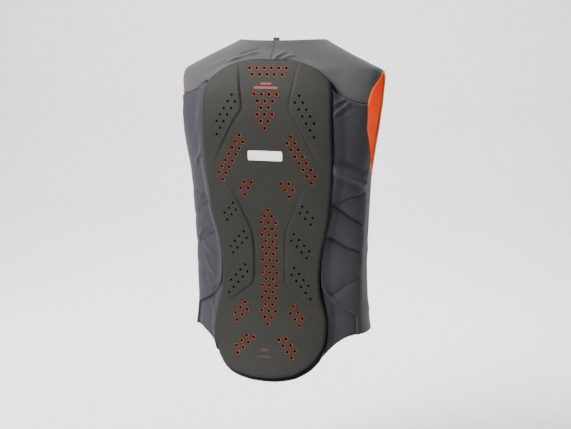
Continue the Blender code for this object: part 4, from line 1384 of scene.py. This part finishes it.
# How far the whole side stands above the body surface
SIDE_LIFT = 0.0006
# Where the side rises beside the protector and where it falls again, each with the width of its slope
BESIDE_RISE = (0.0006, 0.0025)
BESIDE_FALL = (0.006, 0.022)
# How dark the painted shade along the sides' sewn lines is
CHEVRON_SHADE = 0.85


class VEST_OT_side_backs(bpy.types.Operator):
    """Builds the dark stretch sides with their sewn lines and folds"""

    bl_idname = "vest.side_backs"
    bl_label = "Stretch sides"

    def execute(self, context):
        settings = context.scene.vest
        cloth = settings.cloth
        material = knit_cloth("side_cloth", cloth.side_colour, cloth.knit, 0.66, 0.12)
        n = round(settings.detail * 1.4)
        pair = both_sides(side_grid(n, YOKE_SEAM_TILT), side_grid(n, -YOKE_SEAM_TILT))
        for name, places in pair:
            borders = ("top", inner_side(name), name)
            share = 1.0 if name == "right" else LEFT_SEAM_SHARE
            seams = [seam._replace(depth=seam.depth * share) for seam in SIDE_SEAMS]
            free = seam_hold(places, seams)
            broad = wide_hold(places, seams, BROAD_WIDTH)
            swell = cloth.side_swell * side_pad(places) * (NEAR_SHARE * free + BROAD_SHARE * broad)
            relief = (fold_relief(places, SIDE_FOLDS) + swell + SIDE_LIFT) * edge_fade(places, 0.004, borders)
            beside = border_distance(places, inner_side(name)) - UNDERLAP
            rise = cloth.beside * eased((beside - BESIDE_RISE[0]) / BESIDE_RISE[1])
            relief += rise * (1 - eased((beside - BESIDE_FALL[0]) / BESIDE_FALL[1]))
            relief += hem_band(places, cloth.hem, HEM_BAND)
            # Painted shade along the sewn chevron lines and along the side's seams with its neighbours
            lines = CHEVRON_SHADE * (1 - free)
            for side in borders:
                lines = np.maximum(lines, SIDE_SEAM_SHADE[0] * seam_shade(places, side, SIDE_SEAM_SHADE[1]))
            node_name = "side_back_" + name
            cloth_piece(node_name, places, relief, lines, cloth.thick, material)
        return {"FINISHED"}


class VEST_OT_fronts(bpy.types.Operator):
    """Builds the front panels"""

    bl_idname = "vest.fronts"
    bl_label = "Front panels"

    def execute(self, context):
        settings = context.scene.vest
        cloth = settings.cloth
        material = knit_cloth("front_cloth", cloth.front_colour, cloth.knit, 0.74, 0.10)
        folds = list(FRONT_FOLDS)
        for fold in FRONT_FOLDS:
            folds.append(fold._replace(start_angle=-fold.start_angle, end_angle=-fold.end_angle))
        grid = front_grid(settings.detail)
        for name, places in both_sides(grid, grid):
            fade = edge_fade(places, 0.005, ("left", "right"))
            relief = (fold_relief(places, folds) + 0.6 * cloth.swell) * fade
            relief += hem_band(places, cloth.hem, HEM_BAND)
            # Painted shade along the front's seam with the side
            lines = SIDE_SEAM_SHADE[0] * seam_shade(places, inner_side(name), SIDE_SEAM_SHADE[1])
            node_name = "front_" + name
            cloth_piece(node_name, places, relief, lines, cloth.thick, material)
        return {"FINISHED"}


def lining_depth(drop):
    """How far the lining's outer face lies under the cloth's outer face."""
    return CLOTH_DEPTH + LINING_GAP + SHOULDER_EASE * np.maximum(0.0, 1 - 2 * drop / ARMHOLE_DROP)


class VEST_OT_lining(bpy.types.Operator):
    """Builds the orange inner vest"""

    bl_idname = "vest.lining"
    bl_label = "Lining"

    def execute(self, context):
        settings = context.scene.vest
        cloth = settings.cloth
        n = settings.detail
        material = knit_cloth("lining_cloth", cloth.lining_colour, cloth.knit * 1.3, 0.85, 0.10)
        share = np.linspace(0, 1, n + 1)
        shoulder = chained(run(neckline, -1, 0, n), between(neckline(0.0), armhole(-1.0), share))
        tail = run(lambda t: base_place(t, 1.0), 0, 1, n)
        hem_side = between(base_place(1.0, 1.0), (90.0, SIDE_LENGTH), share)
        beside = (hem_side[:, 0] - tail[-1, 0]) / (SEAM_HEM_ANGLE - tail[-1, 0])
        hem_side[:, 1] = SIDE_LENGTH + (tail[-1, 1] - SIDE_LENGTH) * np.maximum(0, 1 - beside) ** HEM_CURVE
        hem = chained(tail, hem_side)
        hem[:, 1] -= HEM_RISE
        side = between(hem[-1], armhole(0.0), share)
        round_front = np.array([360.0, 0.0])

        def whole(half):
            """A run from the middle to the right side, made from side to side."""
            return np.concatenate([half[:0:-1] * FLIP, half])

        edge = chained(side, run(armhole, 0, -1, n))
        back = coons(whole(hem), whole(shoulder), edge * FLIP, edge)
        near = chained(side, run(armhole, 0, 1, n))
        front_neck = chained(between(armhole(1.0), neckline(0.0), share), run(neckline, 0, 1, n))
        front_top = np.concatenate([front_neck, front_neck[-2::-1] * FLIP + round_front])
        low = np.full(len(front_top), SIDE_LENGTH - HEM_RISE)
        bottom = place(np.linspace(90, 270, len(front_top)), low)
        front = coons(bottom, front_top, near, near * FLIP + round_front)
        nodes = {"back": ("lining",), "front": ()}
        for name, places in (("back", back), ("front", front)):
            depth = lining_depth(places[..., 1])
            rise = 1 - edge_fade(places, SEAM_RISE_WIDTH, ("top", "left", "right"))
            depth += (LINING_SEAM_DEPTH - depth) * rise
            outer, inner = lifted(places, -depth), lifted(places, -depth - cloth.lining_thick)
            mesh = closed_mesh("lining_" + name, outer, inner, cloth_uv(places))
            piece = shown("lining_" + name, mesh, material, nodes[name])
        return {"FINISHED"}


def tube_mesh(name, points, radius, sides, uv_pitch):
    """A closed tube round a closed loop of points."""
    ahead = np.roll(points, -1, 0) - np.roll(points, 1, 0)
    ahead /= np.linalg.norm(ahead, axis=1, keepdims=True)
    centre = points.mean(0)
    out = points - centre
    out -= ahead * (out * ahead).sum(1, keepdims=True)
    out /= np.linalg.norm(out, axis=1, keepdims=True)
    other = np.cross(ahead, out)
    turn = np.linspace(0, 2 * np.pi, sides, endpoint=False)
    ring = out[:, None] * np.cos(turn)[None, :, None] + other[:, None] * np.sin(turn)[None, :, None]
    grid = points[:, None] + ring * radius
    count = len(points)
    index = np.arange(count * sides).reshape(count, sides)
    after, beside = np.roll(index, -1, 0), np.roll(index, -1, 1)
    faces = np.stack([index, beside, np.roll(after, -1, 1), after], -1).reshape(-1, 4)
    mesh = bpy.data.meshes.new(name)
    mesh.from_pydata(grid.reshape(-1, 3).tolist(), [], faces.tolist())
    order = index.ravel()
    add_uv(mesh, np.stack([(order // sides) * uv_pitch, (order % sides) * uv_pitch], -1))
    mesh.shade_smooth()
    return mesh


def armhole_line(into_hole, height, count):
    """Points just inside the right armhole's edge."""
    way = np.linspace(-1, 1, count, endpoint=False)
    places = armhole(way)
    step = 0.006
    wrapped = (way + step + 1) % 2 - 1
    back = (way - step + 1) % 2 - 1
    ahead = surface(*armhole(wrapped).T) - surface(*armhole(back).T)
    normal = facing(places[:, 0], places[:, 1])
    inward = -np.cross(ahead, normal)
    inward /= np.linalg.norm(inward, axis=1, keepdims=True)
    return lifted(places, height) + inward * into_hole


class VEST_OT_bindings(bpy.types.Operator):
    """Builds the orange binding round each armhole"""

    bl_idname = "vest.bindings"
    bl_label = "Armhole bindings"

    def execute(self, context):
        settings = context.scene.vest
        material = knit_cloth("binding_cloth", settings.cloth.binding_colour, 0.0012, 0.7, 0.10)
        into_hole, height, radius, pitch = 0.0007, -0.0002, 0.0019, 0.0012
        points = armhole_line(into_hole, height, 10 * settings.detail)
        for name, side in (("right", 1), ("left", -1)):
            loop = points * np.array([side, 1, 1])
            if side < 0:
                loop = loop[::-1]
            mesh = tube_mesh("binding_" + name, loop, radius, 12, pitch)
            shown("binding_" + name, mesh, material, ("armhole_binding_" + name,))
        return {"FINISHED"}


class VEST_OT_hang_loop(bpy.types.Operator):
    """Builds the tape loop at the back of the neckline"""

    bl_idname = "vest.hang_loop"
    bl_label = "Hang loop"

    def execute(self, context):
        low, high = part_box("hang_loop")
        half = (high.y - low.y) / 2
        thick = 0.0012
        turn = np.linspace(0, np.pi, 17)
        top = high.z - half
        y = np.concatenate([[-half], -half * np.cos(turn), [half]])
        z = np.concatenate([[low.z], top + half * np.sin(turn), [low.z]])
        inner_z = np.where(z > top, top + (z - top) * (half - thick) / half, z)
        middle = (high.y + low.y) / 2
        outline = (y + middle, z, y * (half - thick) / half + middle, inner_z)
        across = np.linspace(high.x, low.x, 13)[:, None]
        lean = 0.0006 * np.sin((across - low.x) / (high.x - low.x) * np.pi)
        outer = np.stack(np.broadcast_arrays(across, outline[0][None], outline[1][None] - lean), -1)
        inner = np.stack(np.broadcast_arrays(across, outline[2][None], outline[3][None] - lean), -1)
        length = np.cumsum(np.hypot(np.gradient(y), np.gradient(z)))
        uv = np.stack(np.broadcast_arrays(across, length[None]), -1)
        mesh = closed_mesh("hang_loop", outer, inner, uv)
        material = knit_cloth("tape", (0.045, 0.045, 0.048), 0.0010, 0.7, 0.2)
        shown("hang_loop_tape", mesh, material, ("hang_loop",))
        return {"FINISHED"}


# The closure's tape: how far it lies inside the gap's edge, how high its face is, and its thickness
TAPE_INSET = 0.0006
TAPE_FACE = -0.0002
TAPE_THICK = 0.0010
# The teeth start above the hem and end below the neckline by these, and stand this high
TEETH_ENDS = (0.004, 0.008)
TEETH_RISE = 0.0004


class VEST_OT_closure(bpy.types.Operator):
    """Builds the front closure: its tape, as one strip across both halves, the teeth and the slider"""

    bl_idname = "vest.closure"
    bl_label = "Front closure"

    def execute(self, context):
        settings = context.scene.vest
        sizes = settings.closure
        top = neckline(FRONT_NECK_WAY)[1] + 0.002
        drops = np.linspace(SIDE_LENGTH, top, 4 * settings.detail)
        half = ZIP_HALF - TAPE_INSET
        grid_x, grid_drop = np.meshgrid(np.linspace(half, -half, 13), drops)
        places = place(angle_across(grid_x, grid_drop, front=True) % 360, grid_drop)
        outer, inner = lifted(places, TAPE_FACE), lifted(places, TAPE_FACE - TAPE_THICK)
        mesh = closed_mesh("closure", outer, inner, cloth_uv(places))
        tape = knit_cloth("closure_tape", (0.03, 0.03, 0.033), 0.0008, 0.65, 0.15)
        shown("front_zip_tape", mesh, tape, ("front_zip",))
        count = int((SIDE_LENGTH - top) / sizes.tooth_pitch)
        teeth_drops = np.linspace(SIDE_LENGTH - TEETH_ENDS[0], top + TEETH_ENDS[1], count)
        spots = spots_on(place(np.full(count, 180.0), teeth_drops), TEETH_RISE)
        spots = spots._replace(along=np.tile([1.0, 0.0, 0.0], (count, 1)))
        plastic = plain_finish("closure_teeth", (0.02, 0.02, 0.022), 0.35)
        size = (sizes.tooth_length, sizes.tooth_width, sizes.tooth_height)
        shown("front_zip_teeth", repeated("teeth", spots, block_shape, *size, plastic), plastic, ())
        slider = rounded_slider(top + 0.004)
        metal = plain_finish("slider", (0.03, 0.03, 0.032), 0.3, metallic=0.6)
        shown("front_zip_slider", slider, metal, ())
        return {"FINISHED"}


# The slider's half width and its height at some lengths down it
SLIDER_HALF = (
    (0.000, 0.0018),
    (0.001, 0.0034),
    (0.008, 0.0030),
    (0.010, 0.0014),
    (0.012, 0.0022),
    (0.022, 0.0022),
    (0.024, 0.0010),
)
SLIDER_RISE = ((0.000, 0.0020), (0.002, 0.0028), (0.008, 0.0028), (0.010, 0.0020), (0.024, 0.0014))
SLIDER_FOOT = 0.0011


def rounded_slider(drop):
    """The slider's body with its pull, as one closed plate that narrows downwards."""
    length = np.linspace(0, SLIDER_HALF[-1][0], 25)
    half = np.interp(length, *np.transpose(SLIDER_HALF))
    rise = np.interp(length, *np.transpose(SLIDER_RISE))
    across = np.linspace(1, -1, 9)
    grid_x = half[::-1, None] * across[None]
    grid_drop = np.broadcast_to((drop + length)[::-1, None], grid_x.shape)
    places = place(angle_across(grid_x, grid_drop, front=True) % 360, grid_drop)
    dome = rise[::-1, None] * (0.75 + 0.25 * np.sqrt(1 - across[None] ** 2))
    return closed_mesh("slider", lifted(places, dome), lifted(places, SLIDER_FOOT), cloth_uv(places))


def stitch_row(places, relief, settings):
    """Spots for a row of stitches along places, spaced evenly."""
    points = lifted(places, relief)
    length = np.concatenate([[0], np.cumsum(np.linalg.norm(np.diff(points, axis=0), axis=1))])
    at = np.arange(settings.stitch.pitch, length[-1], settings.stitch.pitch)
    even = np.stack([np.interp(at, length, places[:, k]) for k in range(2)], -1)
    return spots_on(even, np.interp(at, length, np.broadcast_to(relief, length.shape)))


# The outer of a hem's two rows as a share of the band's width, and how far apart twin rows lie
HEM_ROW_SHARE = 0.85
TWIN_STEP = 0.0022
# How high each kind of row stands
BACK_HEM_ROW = 0.0010
FRONT_HEM_ROW = 0.0008
SIDE_ROW = 0.0005
YOKE_ROW = 0.0004
# How far before the side seam its row lies, in degrees, and the part of a seam that has stitches
SIDE_ROW_TURN = 0.7
SEWN = (0.02, 0.98)


class VEST_OT_stitches(bpy.types.Operator):
    """Builds the rows of stitches along the hems and seams"""

    bl_idname = "vest.stitches"
    bl_label = "Stitches"

    def execute(self, context):
        settings = context.scene.vest
        stitch = settings.stitch
        back_hems = side_grid(settings.detail, 0.0)[0][4:-1]
        front_hems = front_grid(settings.detail)[0][1:-1]
        hems = ((back_hems, BACK_HEM_ROW), (front_hems, FRONT_HEM_ROW))
        hem = settings.cloth.hem * HEM_ROW_SHARE
        rows = []
        for offset in (hem, hem - TWIN_STEP):
            for row, height in hems:
                rows.append((row - np.array([0.0, offset]), height))
        rows.append((run(side_seam, *SEWN, 80) + np.array([SIDE_ROW_TURN, 0.0]), SIDE_ROW))
        groups = []
        for places, relief in rows:
            groups.append(stitch_row(places, relief, settings))
            groups.append(stitch_row(left_hem(places * FLIP), relief, settings))
        for side, fall in ((1, YOKE_SEAM_TILT), (-1, -YOKE_SEAM_TILT)):
            for offset in (TWIN_STEP, -TWIN_STEP):
                row = yoke_seam(np.linspace(*SEWN, 41), fall) * np.array([side, 1.0])
                row[:, 1] += offset
                groups.append(stitch_row(row, YOKE_ROW, settings))
        thread = plain_finish("thread", stitch.colour, 0.6)
        size = (stitch.length, stitch.thick, stitch.thick)
        mesh = repeated("stitches", joined_spots(groups), bead_shape, *size, thread)
        mesh.shade_smooth()
        shown("seam_stitches", mesh, thread, ())
        return {"FINISHED"}


def area_light(name, energy, size, location, target):
    """A soft square light aimed at a point."""
    data = bpy.data.lights.new(name, "AREA")
    data.energy = energy
    data.shape = "SQUARE"
    data.size = size
    lamp = bpy.data.objects.new(name, data)
    bpy.context.scene.collection.objects.link(lamp)
    lamp.location = location
    lamp.rotation_euler = (target - Vector(location)).to_track_quat("-Z", "Y").to_euler()
    return lamp


def direction(azimuth, elevation):
    """The way out from the vest at an azimuth, which is 0 behind its back, and an elevation."""
    a, e = np.radians(azimuth), np.radians(elevation)
    return Vector((np.sin(a) * np.cos(e), -np.cos(a) * np.cos(e), np.sin(e)))


# Where the camera aims, and its shift as shares of the picture's width
AIM = (0.0, 0.022, -0.40865)
SHIFT = (-2.0 / 571, 27.4 / 571)
# The paper's section: how far behind the vest each of its lines lies, and how high above the floor
PAPER_AWAY = (-9.0, 2.0, 3.0, 3.8, 4.3, 4.5, 4.5)
PAPER_HEIGHT = (0.0, 0.0, 0.12, 0.5, 1.2, 2.2, 9.0)
# The lights on the vest: name, size, azimuth, elevation and distance
LIGHTS = (("key", 1.1, -42, 38, 2.5), ("fill", 1.2, 104, 30, 2.4), ("top", 1.2, -62, 64, 2.0))


class VEST_OT_stage(bpy.types.Operator):
    """Builds the pale floor, the soft lights and the camera"""

    bl_idname = "vest.stage"
    bl_label = "Stage"

    def execute(self, context):
        stage = context.scene.vest.stage
        aim = Vector(AIM)
        turn = np.radians(stage.azimuth)
        back = direction(stage.azimuth, stage.elevation)
        camera_data = bpy.data.cameras.new("camera")
        camera_data.lens = stage.lens
        camera_data.sensor_width = 36.0
        camera_data.shift_x, camera_data.shift_y = SHIFT
        camera_data.clip_end = 100.0
        camera = bpy.data.objects.new("camera", camera_data)
        context.scene.collection.objects.link(camera)
        camera.location = aim + back * stage.distance
        camera.rotation_euler = (-back).to_track_quat("-Z", "Y").to_euler()
        context.scene.camera = camera

        across = np.linspace(-9, 9, 3)
        height = np.array(PAPER_HEIGHT) - stage.floor_drop
        floor = bpy.data.meshes.new("floor")
        points = [(x, y, z) for y, z in zip(PAPER_AWAY, height) for x in across]
        faces = [(3 * r + c, 3 * r + c + 1, 3 * r + c + 4, 3 * r + c + 3) for r in range(6) for c in range(2)]
        floor.from_pydata(points, [], faces)
        floor.shade_smooth()
        floor.materials.append(plain_finish("paper", stage.paper_colour, 0.9, grain=40.0))
        paper = bpy.data.objects.new("floor", floor)
        context.scene.collection.objects.link(paper)
        paper.rotation_euler = (0, 0, turn)

        powers = (stage.key_power, stage.fill_power, stage.top_power)
        for (name, size, azimuth, elevation, distance), power in zip(LIGHTS, powers):
            area_light(name, power, size, aim + direction(azimuth, elevation) * distance, aim)
        paper_aim = Vector((-np.sin(turn) * 3.6, np.cos(turn) * 3.6, -0.4))
        above = aim + direction(200, 62) * 2.6
        area_light("backdrop", stage.backdrop_power, 2.0, above, paper_aim)
        within, armhole_aim = Vector((0.04, 0.0, -0.15)), Vector((0.18, 0.05, -0.16))
        inside = area_light("inside", stage.inside_power, 0.08, within, armhole_aim)
        inside.visible_camera = False
        world = bpy.data.worlds.new("studio")
        world.use_nodes = True
        background = world.node_tree.nodes["Background"].inputs
        background["Color"].default_value = (1, 1, 1, 1)
        background["Strength"].default_value = stage.world_strength
        context.scene.world = world
        return {"FINISHED"}


OPERATORS = (
    VEST_OT_protector,
    VEST_OT_insert,
    VEST_OT_base,
    VEST_OT_marks,
    VEST_OT_yokes,
    VEST_OT_side_backs,
    VEST_OT_fronts,
    VEST_OT_closure,
    VEST_OT_lining,
    VEST_OT_bindings,
    VEST_OT_hang_loop,
    VEST_OT_stitches,
    VEST_OT_stage,
)


class VEST_PT_panel(bpy.types.Panel):
    """Lists the vest's pieces and settings"""

    bl_idname = "VEST_PT_panel"
    bl_label = "Protective Vest"
    bl_space_type = "VIEW_3D"
    bl_region_type = "UI"
    bl_category = "Vest"

    def draw(self, context):
        layout = self.layout
        settings = context.scene.vest
        for operator in OPERATORS:
            layout.operator(operator.bl_idname)
        for group in (settings.protector, settings.cloth, settings.stitch, settings.closure, settings.stage):
            box = layout.box()
            for key in group.bl_rna.properties.keys():
                if key not in ("rna_type", "name"):
                    box.prop(group, key)
        layout.prop(settings, "detail")


CLASSES = (
    ProtectorSettings,
    ClothSettings,
    StitchSettings,
    ClosureSettings,
    StageSettings,
    VestSettings,
    *OPERATORS,
    VEST_PT_panel,
)


def register():
    for cls in CLASSES:
        bpy.utils.register_class(cls)
    bpy.types.Scene.vest = PointerProperty(type=VestSettings)


def unregister():
    del bpy.types.Scene.vest
    for cls in reversed(CLASSES):
        bpy.utils.unregister_class(cls)


def main():
    register()
    for operator in OPERATORS:
        group, name = operator.bl_idname.split(".")
        getattr(getattr(bpy.ops, group), name)()


if __name__ == "__main__":
    main()
